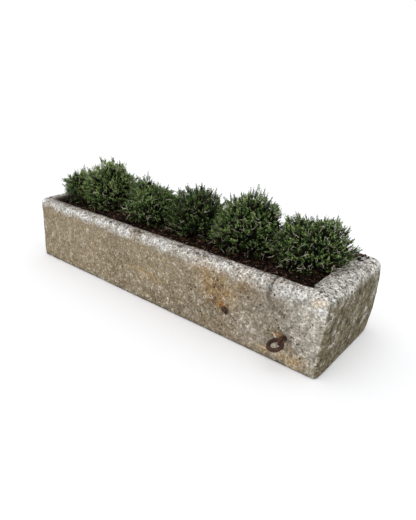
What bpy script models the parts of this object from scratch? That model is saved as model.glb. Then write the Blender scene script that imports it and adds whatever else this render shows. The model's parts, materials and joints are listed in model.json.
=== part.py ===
"""A long trough hewn from one block of limestone, with an iron tether ring, planted as a planter.

The origin is the middle of the underside. X runs along the trough, -Y is its front, +Z is up.
"""
import math

import bmesh
import bpy
from mathutils import Matrix, Vector, noise

for leftover in list(bpy.data.objects):
    bpy.data.objects.remove(leftover)

# The block, with the ring on its front face
FRONT_LENGTH = 2.23
DEPTH = 0.695
HEIGHT = 0.425
LEFT_SKEW_LENGTH = 0.10
FRONT_LEAN = 0.011
RIGHT_LEAN = 0.021
LEFT_LEAN = 0.016
BACK_LEAN = 0.030
BACK_TUCK = 0.055
BELLY_HEIGHT = 0.19
FOOT_ROUND = 0.008

# Upright corners of the block, at the foot and at the rim
FRONT_LEFT_FOOT_RADIUS = 0.030
FRONT_LEFT_RIM_RADIUS = 0.045
FRONT_RIGHT_FOOT_RADIUS = 0.055
FRONT_RIGHT_RIM_RADIUS = 0.032
BACK_RIGHT_FOOT_RADIUS = 0.050
BACK_RIGHT_RIM_RADIUS = 0.080
BACK_LEFT_FOOT_RADIUS = 0.050
BACK_LEFT_RIM_RADIUS = 0.090

# The rim, worn round on its outer edge, and the hollow inside it
FRONT_WALL = 0.061
RIGHT_WALL = 0.103
BACK_WALL = 0.052
LEFT_WALL = 0.115
FLOOR_THICKNESS = 0.090
FRONT_RIM_ROUND = 0.036
RIGHT_RIM_ROUND = 0.052
BACK_RIM_ROUND = 0.030
LEFT_RIM_ROUND = 0.050
INNER_RIM_ROUND = 0.012
RIM_FLAT = 0.008
HOLLOW_DRAFT = 0.012
HOLLOW_CORNER_RADIUS = 0.040
HOLLOW_FLOOR_ROUND = 0.040

# Waves that the mason's point left on the outside, and hollows worn in the rim
HEWN_WAVE = 0.0035
HEWN_PITCH = 0.21
RIM_WEAR = 0.007
RIM_WEAR_PITCH = 0.17
RIM_WEAR_DEPTH = 0.060

# Drain holes through the floor, each under a curved potsherd
DRAIN_RADIUS = 0.016
DRAIN_SPACING = 1.10
SHERD_RADIUS = 0.062
SHERD_THICKNESS = 0.008
SHERD_LENGTH = 0.095
SHERD_HALF_ANGLE = math.radians(46)

# Layers that fill the hollow. Compost fills it from the fleece up to the mulch
GRAVEL_DEPTH = 0.052
FLEECE_THICKNESS = 0.003
RIM_ABOVE_MULCH = 0.041
MULCH_DEPTH = 0.026
MULCH_LUMP = 0.011
MULCH_LUMP_PITCH = 0.085
MULCH_EDGE_ROUND = 0.006
MULCH_HEAP = 0.020
MULCH_HEAP_REACH = 0.16

# Clearances: between fixed pieces that touch, in the beds that layers lie in, and how far a cutter overruns
SEAT_GAP = 0.0003
BED_GAP = 0.0005
OVERRUN = 0.020

# Iron eye, leaded into the front face, and the ring that it holds
EYE_FROM_END = 0.210
EYE_HEIGHT = 0.1475
EYE_STAND_OFF = 0.030
EYE_BAR_RADIUS = 0.0055
RING_PLAY = 0.0034
RING_REST_GAP = 0.0009
SHANK_RADIUS = 0.0065
SHANK_DEPTH = 0.034
LEAD_RADIUS = 0.0145
LEAD_DEPTH = 0.043
LEAD_RECESS = 0.006
RING_RADIUS = 0.0325
RING_BAR_RADIUS = 0.0105
RING_RAISED = math.radians(70)
RING_TURNED = math.radians(-20)

# A second eye rusted off in its lead, seen as a dark pocket with a rust stain
STUB_FROM_EYE = 0.348
STUB_HEIGHT = 0.150
STUB_RADIUS = 0.006
STUB_LENGTH = 0.026
STUB_RECESS = 0.009

# Shrubs: ball of roots, a short stock and its limbs, and the crown of leaves, cut flat by the mulch
ROOT_BALL_RADIUS = 0.092
ROOT_BALL_FOOT_RADIUS = 0.074
ROOTS_ABOVE_FLEECE = 0.062
ROOT_BALL_ROUND = 0.016
ROOT_BALL_SPACE = 0.010
STOCK_RADIUS = 0.011
STOCK_TOP_RADIUS = 0.009
STOCK_SOCKET_DEPTH = 0.030
STOCK_HEIGHT = 0.055
LIMB_RADIUS = 0.0065
LIMB_TIP_RADIUS = 0.0035
CROWN_WIDTH = 0.43
CROWN_DEPTH = 0.41
CROWN_RISE = 0.30
CROWN_SINK = 0.060
TUFT_PITCH = 0.062
TUFT_RISE = 0.018
TUFT_FALL = 0.018
SPRAY_RISE = 0.024
CROWN_CLEARANCE = 0.010
CROWN_NEIGHBOUR_GAP = 0.004

# Each shrub: its place from the middle as shares of half the block, its crown's lean, and its crown's sizes
SHRUB_SHARES = [
    {"x": -0.807, "y": -0.216, "lean": -0.45, "width": 0.70, "depth": 0.78, "rise": 0.74, "sink": 0.57},
    {"x": -0.628, "y": -0.072, "lean": -0.04, "width": 0.97, "depth": 1.00, "rise": 1.06, "sink": 1.00},
    {"x": -0.249, "y": -0.072, "lean": 0.02, "width": 0.95, "depth": 1.05, "rise": 0.90, "sink": 1.00},
    {"x": 0.056, "y": -0.035, "lean": 0.00, "width": 1.00, "depth": 1.00, "rise": 0.92, "sink": 1.00},
    {"x": 0.396, "y": -0.035, "lean": 0.06, "width": 1.08, "depth": 1.02, "rise": 1.13, "sink": 1.00},
    {"x": 0.700, "y": 0.063, "lean": 0.07, "width": 1.12, "depth": 1.00, "rise": 0.92, "sink": 1.00},
]

# Lobes of each crown: place and radius as shares of half width, half depth and half height
LOBE_SHARES = [
    [(-0.45, 0.00, -0.05, 0.55), (0.30, 0.10, 0.05, 0.62), (0.00, 0.00, 0.30, 0.66),
     (0.15, -0.30, -0.30, 0.62)],
    [(-0.42, 0.00, 0.22, 0.56), (0.34, 0.05, 0.20, 0.54), (0.00, -0.10, 0.00, 0.78),
     (0.05, -0.36, -0.36, 0.60), (0.12, 0.30, -0.12, 0.62), (0.30, 0.00, 0.62, 0.38),
     (-0.36, 0.10, 0.62, 0.34), (-0.40, -0.20, -0.40, 0.50)],
    [(-0.60, 0.06, 0.36, 0.42), (0.28, -0.36, -0.06, 0.58), (0.00, 0.00, -0.10, 0.76),
     (-0.30, -0.34, -0.36, 0.58), (0.42, 0.20, -0.22, 0.48), (-0.58, 0.14, 0.72, 0.28),
     (0.40, -0.30, -0.40, 0.50)],
    [(-0.44, -0.05, 0.12, 0.52), (0.40, 0.00, 0.06, 0.52), (0.00, 0.00, 0.05, 0.80),
     (0.05, -0.34, -0.36, 0.60), (0.26, 0.10, 0.52, 0.44), (-0.25, 0.05, 0.42, 0.48),
     (-0.42, -0.25, -0.40, 0.48), (0.40, -0.20, -0.42, 0.48)],
    [(0.04, 0.00, 0.40, 0.50), (0.04, 0.05, 0.74, 0.24), (-0.38, -0.05, -0.12, 0.52),
     (0.44, 0.08, 0.02, 0.50), (-0.36, 0.05, 0.30, 0.40), (0.40, 0.10, 0.34, 0.40),
     (0.00, -0.10, -0.08, 0.78), (-0.26, -0.40, -0.42, 0.54), (0.24, 0.30, -0.15, 0.60),
     (0.40, -0.20, -0.44, 0.46)],
    [(-0.42, -0.05, 0.04, 0.52), (0.50, 0.02, 0.02, 0.50), (0.00, 0.00, -0.08, 0.80),
     (-0.36, 0.00, 0.54, 0.30), (0.42, 0.05, 0.56, 0.38), (0.05, -0.36, -0.40, 0.58),
     (-0.42, -0.30, -0.40, 0.50), (0.54, -0.05, -0.42, 0.46)],
]

# Limbs of a shrub: bearing round the stock, reach and rise as shares of the crown, and how far they bow out
LIMB_BEARINGS = [math.radians(a) for a in (20, 105, 190, 268, 330)]
LIMB_REACH_SHARES = (0.52, 0.42, 0.50, 0.46, 0.30)
LIMB_RISE_SHARES = (0.48, 0.60, 0.44, 0.38, 0.74)
LIMB_BOW_SHARE = 0.1

# Heights of the outlines up the block's sides, and insets of the outlines over the mulch
WALL_SHARES = (0.12, 0.25, 0.38, 0.5, 0.62, 0.75, 0.88)
MULCH_INSET_SHARES = (0.0, 0.03, 0.18, 0.42, 0.70, 0.93)

# How finely rounds are cut
CORNER_STEPS = 5
LONG_STEPS = 15
SHORT_STEPS = 5
MULCH_STEPS = 24
ROUND_STEPS = 4
CROWN_TRIES = 60
SPRAY_EVERY = 5
HOOP_STEPS = 24
BAR_STEPS = 8
TURNED_STEPS = 24
SHANK_STEPS = 16
ROOT_BALL_STEPS = 14
STOCK_SIDES = 10
LIMB_SIDES = 5
HOLE_STEPS = 12
SHERD_STEPS = 10

QUARTER = math.pi / 2
FRONT, RIGHT, BACK, LEFT = range(4)
UP = Vector((0, 0, 1))

RIM_ROUNDS = (FRONT_RIM_ROUND, RIGHT_RIM_ROUND, BACK_RIM_ROUND, LEFT_RIM_ROUND)
WALLS = (FRONT_WALL, RIGHT_WALL, BACK_WALL, LEFT_WALL)
FOOT_RADII = (FRONT_LEFT_FOOT_RADIUS, FRONT_RIGHT_FOOT_RADIUS, BACK_RIGHT_FOOT_RADIUS, BACK_LEFT_FOOT_RADIUS)
RIM_RADII = (FRONT_LEFT_RIM_RADIUS, FRONT_RIGHT_RIM_RADIUS, BACK_RIGHT_RIM_RADIUS, BACK_LEFT_RIM_RADIUS)

GRAVEL_TOP = FLOOR_THICKNESS + GRAVEL_DEPTH
FLEECE_TOP = GRAVEL_TOP + SEAT_GAP + FLEECE_THICKNESS
MULCH_TOP = HEIGHT - RIM_ABOVE_MULCH
COMPOST_TOP = MULCH_TOP - MULCH_DEPTH - SEAT_GAP

EYE_X = FRONT_LENGTH / 2 - EYE_FROM_END
EYE_HOLE_RADIUS = RING_BAR_RADIUS + RING_PLAY
STUB_X = EYE_X - STUB_FROM_EYE


def finish(name, colour, roughness, metallic=0.0):
    """A plain finish for one kind of material."""
    material = bpy.data.materials.new(name)
    material.use_nodes = True
    shader = material.node_tree.nodes["Principled BSDF"]
    shader.inputs["Base Color"].default_value = (*colour, 1)
    shader.inputs["Roughness"].default_value = roughness
    shader.inputs["Metallic"].default_value = metallic
    return material


LIMESTONE = finish("limestone", (0.45, 0.41, 0.33), 0.9)
IRON = finish("rusty_iron", (0.085, 0.045, 0.035), 0.6, 0.4)
LEAD = finish("old_lead", (0.20, 0.20, 0.21), 0.7, 0.3)
TERRACOTTA = finish("terracotta", (0.48, 0.20, 0.11), 0.85)
GRAVEL = finish("gravel", (0.38, 0.35, 0.31), 0.9)
FLEECE = finish("fleece", (0.60, 0.60, 0.58), 0.95)
COMPOST = finish("compost", (0.045, 0.028, 0.020), 0.95)
MULCH = finish("bark_mulch", (0.075, 0.036, 0.022), 0.95)
ROOTS = finish("roots", (0.16, 0.11, 0.07), 0.95)
BARK = finish("twig_bark", (0.23, 0.17, 0.11), 0.85)
LEAVES = finish("leaves", (0.035, 0.085, 0.022), 0.6)


def made(name, bm, material, smooth=True):
    """Turns a closed mesh into a named piece with its faces pointing out."""
    bmesh.ops.recalc_face_normals(bm, faces=bm.faces)
    mesh = bpy.data.meshes.new(name)
    bm.to_mesh(mesh)
    bm.free()
    mesh.materials.append(material)
    if smooth:
        mesh.shade_smooth()
        mesh.set_sharp_from_angle(angle=math.radians(40))
    piece = bpy.data.objects.new(name, mesh)
    bpy.context.collection.objects.link(piece)
    return piece


def loft(name, rings, material, lumpy=False):
    """A closed skin through rings of equally many points, with a flat face at each end."""
    bm = bmesh.new()
    rows = [[bm.verts.new(point) for point in ring] for ring in rings]
    for low, high in zip(rows, rows[1:]):
        for i in range(len(low)):
            bm.faces.new((low[i - 1], low[i], high[i], high[i - 1]))
    bm.faces.new(reversed(rows[0]))
    bm.faces.new(rows[-1])
    if lumpy:
        bmesh.ops.triangulate(bm, faces=bm.faces, quad_method="FIXED")
    return made(name, bm, material)


def turned(name, profile, material, steps=TURNED_STEPS, place=Matrix()):
    """A round piece spun about Z from a profile of (radius, height) that starts and ends on the axis."""
    bm = bmesh.new()
    points = [bm.verts.new((radius, 0, height)) for radius, height in profile]
    edges = [bm.edges.new(pair) for pair in zip(points, points[1:])]
    bmesh.ops.spin(bm, geom=points + edges, cent=(0, 0, 0), axis=UP, angle=math.tau, steps=steps)
    bmesh.ops.remove_doubles(bm, verts=bm.verts, dist=SEAT_GAP / 10)
    bm.transform(place)
    return made(name, bm, material)


def hoop(name, radius, bar_radius, material, place):
    """A ring of round bar in its own XY plane, moved to its place."""
    bm = bmesh.new()
    rows = []
    for i in range(HOOP_STEPS):
        turn = Matrix.Rotation(math.tau * i / HOOP_STEPS, 4, UP)
        rows.append([])
        for k in range(BAR_STEPS):
            angle = math.tau * k / BAR_STEPS
            point = Vector((radius - bar_radius * math.cos(angle), 0, bar_radius * math.sin(angle)))
            rows[-1].append(bm.verts.new(turn @ point))
    for i in range(HOOP_STEPS):
        for k in range(BAR_STEPS):
            bm.faces.new((rows[i - 1][k - 1], rows[i - 1][k], rows[i][k], rows[i][k - 1]))
    bm.transform(place)
    return made(name, bm, material)


def bent_rod(name, points, radii, sides, material):
    """A round rod through points, with a radius at each and flat ends."""
    rings = []
    side = None
    for i, point in enumerate(points):
        along = (points[min(i + 1, len(points) - 1)] - points[max(i - 1, 0)]).normalized()
        side = along.orthogonal() if side is None else side - along * side.dot(along)
        side.normalize()
        across = along.cross(side)
        angles = [math.tau * k / sides for k in range(sides)]
        rings.append([point + (side * math.cos(a) + across * math.sin(a)) * radii[i] for a in angles])
    return loft(name, rings, material)


def combine(piece, other, operation):
    """Adds or cuts another closed piece, which is then deleted."""
    modifier = piece.modifiers.new(operation.lower(), "BOOLEAN")
    modifier.operation = operation
    modifier.object = other
    bpy.context.view_layer.update()
    mesh = bpy.data.meshes.new_from_object(piece.evaluated_get(bpy.context.evaluated_depsgraph_get()))
    piece.modifiers.clear()
    piece.data = mesh
    bpy.data.objects.remove(other)
    return piece


def face_inset(side, z):
    """How far the outer face of one side lies inside the block's greatest outline at a height."""
    if side == FRONT:
        return FRONT_LEAN * z / HEIGHT
    if side == RIGHT:
        return RIGHT_LEAN * (1 - z / HEIGHT)
    if side == LEFT:
        return LEFT_LEAN * (1 - z / HEIGHT)
    if z < BELLY_HEIGHT:
        return BACK_TUCK * (1 - z / BELLY_HEIGHT) ** 2
    return BACK_LEAN * ((z - BELLY_HEIGHT) / (HEIGHT - BELLY_HEIGHT)) ** 2


def front_face_y(z):
    return face_inset(FRONT, z) - DEPTH / 2


def plan_corners(insets):
    """Corners of the block's outline, from the front left anticlockwise, with each side moved in."""
    front_y = insets[FRONT] - DEPTH / 2
    back_y = DEPTH / 2 - insets[BACK]
    right_x = FRONT_LENGTH / 2 - insets[RIGHT]

    def left_x(y):
        return insets[LEFT] - FRONT_LENGTH / 2 - LEFT_SKEW_LENGTH * (y + DEPTH / 2) / DEPTH

    return [Vector((left_x(front_y), front_y)), Vector((right_x, front_y)),
            Vector((right_x, back_y)), Vector((left_x(back_y), back_y))]


def level(insets, radii, heights, long_steps=LONG_STEPS):
    """One closed outline. Each side has its own height, and a corner's arc blends two of them."""
    corners = plan_corners(insets)
    arcs = []
    for i, corner in enumerate(corners):
        before = (corner - corners[i - 1]).normalized()
        after = (corners[(i + 1) % 4] - corner).normalized()
        turn = before.angle(after)
        inward = Vector((-before.y, before.x))
        centre = corner - before * radii[i] * math.tan(turn / 2) + inward * radii[i]
        arc = []
        for k in range(CORNER_STEPS + 1):
            share = k / CORNER_STEPS
            spoke = Matrix.Rotation(turn * share, 2) @ (-inward * radii[i])
            arc.append((centre + spoke).to_3d() + UP * (heights[i - 1] * (1 - share) + heights[i] * share))
        arcs.append(arc)
    points = []
    for i, arc in enumerate(arcs):
        points += arc
        steps = long_steps if i in (FRONT, BACK) else SHORT_STEPS
        points += [arc[-1].lerp(arcs[(i + 1) % 4][0], k / steps) for k in range(1, steps)]
    return points


def outer_radii(z):
    """Radii of the block's upright corners at a height."""
    return [foot + (rim - foot) * z / HEIGHT for foot, rim in zip(FOOT_RADII, RIM_RADII)]


def rim_round(side):
    """Outer rounding of the rim, which leaves a flat on a thin wall."""
    return min(RIM_ROUNDS[side], WALLS[side] - INNER_RIM_ROUND - RIM_FLAT)


def hollow_inset(side, z):
    """How far the hollow's wall lies inside the block's greatest outline, below the rim's rounding."""
    share = (HEIGHT - z) / (HEIGHT - FLOOR_THICKNESS)
    inset = face_inset(side, HEIGHT) + WALLS[side] + HOLLOW_DRAFT * share
    height = FLOOR_THICKNESS + HOLLOW_FLOOR_ROUND - z
    if height > 0:
        inset += HOLLOW_FLOOR_ROUND - math.sqrt(max(HOLLOW_FLOOR_ROUND ** 2 - height ** 2, 0))
    return inset


def hollow_level(z, gap=0.0, long_steps=LONG_STEPS):
    """The hollow's outline at a height, or one that lies inside it and above it by a gap."""
    insets = [hollow_inset(side, z) + gap for side in range(4)]
    return level(insets, [HOLLOW_CORNER_RADIUS] * 4, [z + gap] * 4, long_steps)


def hollow_heights(low, high):
    """Heights at which the hollow's wall bends, between two heights and with both."""
    bends = []
    for k in range(ROUND_STEPS + 1):
        bends.append(FLOOR_THICKNESS + HOLLOW_FLOOR_ROUND * (1 - math.cos(QUARTER * k / ROUND_STEPS)))
    return [low] + [z for z in bends if low < z < high] + [high]


def hewn(ring):
    """Pushes an outline in and out in long shallow waves."""
    moved = []
    for i, point in enumerate(ring):
        along = (ring[(i + 1) % len(ring)] - ring[i - 1]).normalized()
        outward = along.cross(UP)
        moved.append(point + outward * HEWN_WAVE * noise.noise(point / HEWN_PITCH))
    return moved


def worn(ring):
    """Lowers the points near the rim where it is worn."""
    lowered = []
    for point in ring:
        near = max(0, 1 - (HEIGHT - point.z) / RIM_WEAR_DEPTH)
        hollow = 1 + noise.noise(Vector((point.x, point.y, 0)) / RIM_WEAR_PITCH)
        lowered.append(point - UP * RIM_WEAR * near * hollow / 2)
    return lowered


def block_rings():
    """Outlines of the block from its foot up the outside, over the rim and down into the hollow."""
    outside = []
    for k in range(3):
        angle = QUARTER * k / 2
        z = FOOT_ROUND * (1 - math.cos(angle))
        insets = [face_inset(side, z) + FOOT_ROUND * (1 - math.sin(angle)) for side in range(4)]
        outside.append(level(insets, outer_radii(z), [z] * 4))
    for share in WALL_SHARES:
        heights = [FOOT_ROUND + share * (HEIGHT - rim_round(side) - FOOT_ROUND) for side in range(4)]
        insets = [face_inset(side, heights[side]) for side in range(4)]
        outside.append(level(insets, outer_radii(heights[FRONT]), heights))
    for k in range(ROUND_STEPS + 1):
        angle = QUARTER * k / ROUND_STEPS
        heights = [HEIGHT - rim_round(side) * (1 - math.sin(angle)) for side in range(4)]
        insets = []
        for side in range(4):
            insets.append(face_inset(side, heights[side]) + rim_round(side) * (1 - math.cos(angle)))
        radii = [radius * (1 - k / ROUND_STEPS / 2) for radius in outer_radii(HEIGHT)]
        outside.append(level(insets, radii, heights))
    rings = [hewn(ring) for ring in outside]
    for k in range(3):
        angle = QUARTER * k / 2
        z = HEIGHT - INNER_RIM_ROUND * (1 - math.cos(angle))
        insets = [hollow_inset(side, z) - INNER_RIM_ROUND * (1 - math.sin(angle)) for side in range(4)]
        rings.append(level(insets, [HOLLOW_CORNER_RADIUS] * 4, [z] * 4))
    low, high = FLOOR_THICKNESS, HEIGHT - INNER_RIM_ROUND
    rings += [hollow_level(z) for z in reversed(hollow_heights(low, high)[:-1])]
    return [worn(ring) for ring in rings]


def pipe_cutter(radius, low, high, place=Matrix(), steps=TURNED_STEPS):
    """A round cutter along its own Z from one height to another."""
    return turned("cutter", [(0, low), (radius, low), (radius, high), (0, high)], LIMESTONE, steps, place)


def into_front(x, z):
    """A frame on the front face whose Z runs straight into the stone."""
    return Matrix.Translation((x, front_face_y(z), z)) @ Matrix.Rotation(-QUARTER, 4, "X")


def drain_places():
    return [Vector((side * DRAIN_SPACING / 2, 0, 0)) for side in (-1, 1)]


def trough_body():
    """The hewn block, with its drain holes and the two sockets for leaded iron."""
    body = loft("trough_body", block_rings(), LIMESTONE)
    for place in drain_places():
        drain = pipe_cutter(DRAIN_RADIUS, -OVERRUN, FLOOR_THICKNESS + OVERRUN, Matrix.Translation(place))
        combine(body, drain, "DIFFERENCE")
    for x, z in ((EYE_X, EYE_HEIGHT), (STUB_X, STUB_HEIGHT)):
        combine(body, pipe_cutter(LEAD_RADIUS, -OVERRUN, LEAD_DEPTH, into_front(x, z)), "DIFFERENCE")
    return body


def lead_plug(name, x, z, held_radius, held_depth):
    """Lead run into a socket, round the iron that reaches to a depth in it."""
    outer = LEAD_RADIUS - SEAT_GAP
    inner = held_radius + SEAT_GAP
    floor = LEAD_DEPTH - SEAT_GAP
    bottom = held_depth + SEAT_GAP
    held = [(0, bottom), (inner, bottom), (inner, LEAD_RECESS)]
    profile = held + [(outer, LEAD_RECESS), (outer, floor), (0, floor)]
    return turned(name, profile, LEAD, place=into_front(x, z))


def eye_centre():
    """Middle of the eye's hole. The ring's bar rests on the lower side of the hole."""
    return Vector((EYE_X, front_face_y(EYE_HEIGHT) - EYE_STAND_OFF, EYE_HEIGHT))


def ring_seat():
    """Middle of the ring's bar where it lies in the eye, which is also where it swings."""
    return eye_centre() - UP * (RING_PLAY - RING_REST_GAP)


def ring_eye():
    """A forged eye: an upright loop of bar on a round shank."""
    stand = Matrix.Translation(eye_centre()) @ Matrix.Rotation(QUARTER, 4, "Y")
    eye = hoop("ring_eye", EYE_HOLE_RADIUS + EYE_BAR_RADIUS, EYE_BAR_RADIUS, IRON, stand)
    start = EYE_HOLE_RADIUS + EYE_BAR_RADIUS - EYE_STAND_OFF
    neck = (EYE_BAR_RADIUS + SHANK_RADIUS) / 2
    profile = [(0, start), (neck, start), (SHANK_RADIUS, 0), (SHANK_RADIUS, SHANK_DEPTH), (0, SHANK_DEPTH)]
    return combine(eye, turned("shank", profile, IRON, SHANK_STEPS, into_front(EYE_X, EYE_HEIGHT)), "UNION")


def tether_ring():
    """The loose ring, held out by its rust. It swings about its bar where that lies in the eye."""
    along = Vector((math.cos(RING_TURNED), math.sin(RING_TURNED), 0))
    outward = along.cross(UP)
    middle = outward * math.sin(RING_RAISED) - UP * math.cos(RING_RAISED)
    across = along.cross(middle)
    basis = Matrix((along, middle, across)).transposed().to_4x4()
    hinge = bpy.data.objects.new("ring_hinge", None)
    bpy.context.collection.objects.link(hinge)
    hinge.location = ring_seat()
    place = basis @ Matrix.Translation((0, RING_RADIUS, 0))
    ring = hoop("tether_ring", RING_RADIUS, RING_BAR_RADIUS, IRON, place)
    ring.parent = hinge
    return ring


def broken_stub():
    """The shank of a second eye, rusted off below the face."""
    end = STUB_RECESS + STUB_LENGTH
    profile = [(0, STUB_RECESS), (STUB_RADIUS / 2, STUB_RECESS),
               (STUB_RADIUS, STUB_RECESS + STUB_RADIUS / 2), (STUB_RADIUS, end), (0, end)]
    return turned("broken_eye_stub", profile, IRON, SHANK_STEPS, into_front(STUB_X, STUB_HEIGHT))


def arch(name, place, outer, inner, length, material):
    """A curved tile, hollow side down, whose long edges reach the floor of the hollow."""
    sink = SHERD_RADIUS * math.cos(SHERD_HALF_ANGLE)
    angles = [SHERD_HALF_ANGLE * (1 - 2 * k / SHERD_STEPS) for k in range(SHERD_STEPS + 1)]
    outline = [Vector((outer * math.sin(a), 0, outer * math.cos(a) - sink)) for a in angles]
    outline += [Vector((inner * math.sin(a), 0, inner * math.cos(a) - sink)) for a in reversed(angles)]
    base = place + UP * FLOOR_THICKNESS
    rings = []
    for end in (-length / 2, length / 2):
        rings.append([base + point + Vector((0, end, max(0, SEAT_GAP - point.z))) for point in outline])
    return loft(name, rings, material)


def potsherd(name, place):
    return arch(name, place, SHERD_RADIUS, SHERD_RADIUS - SHERD_THICKNESS, SHERD_LENGTH, TERRACOTTA)


def sherd_room(place):
    """The space that a potsherd takes up, down through the gravel's underside."""
    sink = SHERD_RADIUS * math.cos(SHERD_HALF_ANGLE)
    outer = SHERD_RADIUS + BED_GAP
    outline = [Vector((outer * math.sin(SHERD_HALF_ANGLE), 0, -OVERRUN))]
    for k in range(SHERD_STEPS + 1):
        angle = SHERD_HALF_ANGLE * (1 - 2 * k / SHERD_STEPS)
        outline.append(Vector((outer * math.sin(angle), 0, outer * math.cos(angle) - sink)))
    outline.append(Vector((-outer * math.sin(SHERD_HALF_ANGLE), 0, -OVERRUN)))
    half = SHERD_LENGTH / 2 + BED_GAP
    base = place + UP * FLOOR_THICKNESS
    rings = [[base + point + Vector((0, y, 0)) for point in outline] for y in (-half, half)]
    return loft("cutter", rings, GRAVEL)


def layer(name, low, high, material):
    """Fill that lies in the hollow between two heights, clear of its walls."""
    heights = hollow_heights(low, high - BED_GAP)
    return loft(name, [hollow_level(z, BED_GAP) for z in heights], material)


def drainage_gravel():
    gravel = layer("drainage_gravel", FLOOR_THICKNESS, GRAVEL_TOP, GRAVEL)
    for place in drain_places():
        combine(gravel, sherd_room(place), "DIFFERENCE")
    return gravel


def stock_point(shrub, z):
    """The middle of a shrub's stock at a height."""
    return Vector((shrub["x"] * FRONT_LENGTH / 2, shrub["y"] * DEPTH / 2, z))


def stock_place(shrub):
    return Matrix.Translation(stock_point(shrub, 0))


def root_ball_profile(shrub, gap):
    """Side of a ball of roots as it came out of its pot, or of its bed in the compost."""
    top = COMPOST_TOP
    foot = FLEECE_TOP + ROOTS_ABOVE_FLEECE
    middle = stock_point(shrub, top)
    spacing = min((stock_point(other, top) - middle).length for other in SHRUB_SHARES if other is not shrub)
    radius = min(ROOT_BALL_RADIUS, (spacing - ROOT_BALL_SPACE) / 2)
    foot_radius = min(ROOT_BALL_FOOT_RADIUS, radius)
    return [(0, foot - gap), (foot_radius - ROOT_BALL_ROUND, foot - gap),
            (foot_radius + gap, foot + ROOT_BALL_ROUND), (radius + gap, top)]


def root_ball(name, shrub):
    """Roots and soil, with the socket that the stock grows from."""
    socket = STOCK_RADIUS + SEAT_GAP
    bottom = COMPOST_TOP - STOCK_SOCKET_DEPTH
    profile = root_ball_profile(shrub, 0) + [(socket, COMPOST_TOP), (socket, bottom), (0, bottom)]
    return turned(name, profile, ROOTS, ROOT_BALL_STEPS, stock_place(shrub))


def compost():
    """Compost with a bed for each ball of roots."""
    fill = layer("compost", FLEECE_TOP + SEAT_GAP, COMPOST_TOP, COMPOST)
    for shrub in SHRUB_SHARES:
        profile = root_ball_profile(shrub, BED_GAP)
        profile += [(profile[-1][0], COMPOST_TOP + OVERRUN), (0, COMPOST_TOP + OVERRUN)]
        bed = turned("cutter", profile, COMPOST, ROOT_BALL_STEPS, stock_place(shrub))
        combine(fill, bed, "DIFFERENCE")
    return fill


def mulch_height(point):
    """Top of the mulch: lumpy, and heaped in the back right corner."""
    right = FRONT_LENGTH / 2 - hollow_inset(RIGHT, MULCH_TOP)
    back = DEPTH / 2 - hollow_inset(BACK, MULCH_TOP)
    corner = Vector((right, back, 0))
    away = (Vector((point.x, point.y, 0)) - corner).length / MULCH_HEAP_REACH
    lump = noise.noise(Vector((point.x, point.y, 0)) / MULCH_LUMP_PITCH)
    return MULCH_TOP + MULCH_LUMP * lump + MULCH_HEAP * math.exp(-away ** 2)


def bark_mulch():
    """A dark dressing of bark over the compost, with a hole round each stock."""
    low = COMPOST_TOP + SEAT_GAP
    rings = [hollow_level(low, BED_GAP, MULCH_STEPS)]
    half_depth = (DEPTH - hollow_inset(FRONT, low) - hollow_inset(BACK, low)) / 2
    for share in MULCH_INSET_SHARES:
        insets = [hollow_inset(side, MULCH_TOP) + BED_GAP + half_depth * share for side in range(4)]
        radius = HOLLOW_CORNER_RADIUS * (1 - share)
        ring = level(insets, [radius] * 4, [0] * 4, MULCH_STEPS)
        drop = MULCH_EDGE_ROUND if share == 0 else 0
        rings.append([point + UP * (mulch_height(point) - drop) for point in ring])
    mulch = loft("bark_mulch", rings, MULCH, lumpy=True)
    hole_radius = (STOCK_RADIUS + SEAT_GAP) / math.cos(math.pi / HOLE_STEPS)
    for shrub in SHRUB_SHARES:
        hole = pipe_cutter(hole_radius, low - OVERRUN, HEIGHT + OVERRUN, stock_place(shrub), HOLE_STEPS)
        combine(mulch, hole, "DIFFERENCE")
    return mulch


def crown_size(shrub):
    """Half width, half depth and half height of a crown."""
    height = shrub["rise"] * CROWN_RISE + shrub["sink"] * CROWN_SINK
    return Vector((shrub["width"] * CROWN_WIDTH, shrub["depth"] * CROWN_DEPTH, height)) / 2


def crown_centre(shrub):
    size = crown_size(shrub)
    over_stock = stock_point(shrub, MULCH_TOP + shrub["rise"] * CROWN_RISE - size.z)
    return over_stock + Vector((shrub["lean"] * size.x, 0, 0))


def branching(name, shrub, gap, material):
    """The stock and its limbs, or with a gap the room that they need in the crown."""
    foot = stock_point(shrub, COMPOST_TOP - STOCK_SOCKET_DEPTH + SEAT_GAP)
    fork = stock_point(shrub, MULCH_TOP + STOCK_HEIGHT)
    wood = bent_rod(name, [foot, fork], [STOCK_RADIUS + gap, STOCK_TOP_RADIUS + gap], STOCK_SIDES, material)
    centre = crown_centre(shrub)
    size = crown_size(shrub)
    for bearing, reach, rise in zip(LIMB_BEARINGS, LIMB_REACH_SHARES, LIMB_RISE_SHARES):
        start = fork - UP * STOCK_HEIGHT / 2
        out = Vector((math.cos(bearing) * size.x, math.sin(bearing) * size.y, 0))
        tip = centre + out * reach + UP * size.z * (rise * 2 - 1)
        bend = (start + tip) / 2 + out * LIMB_BOW_SHARE
        tip += (tip - bend).normalized() * gap
        radii = [LIMB_RADIUS + gap, (LIMB_RADIUS + LIMB_TIP_RADIUS) / 2 + gap, LIMB_TIP_RADIUS + gap]
        combine(wood, bent_rod("limb", [start, bend, tip], radii, LIMB_SIDES, material), "UNION")
    return wood


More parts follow.
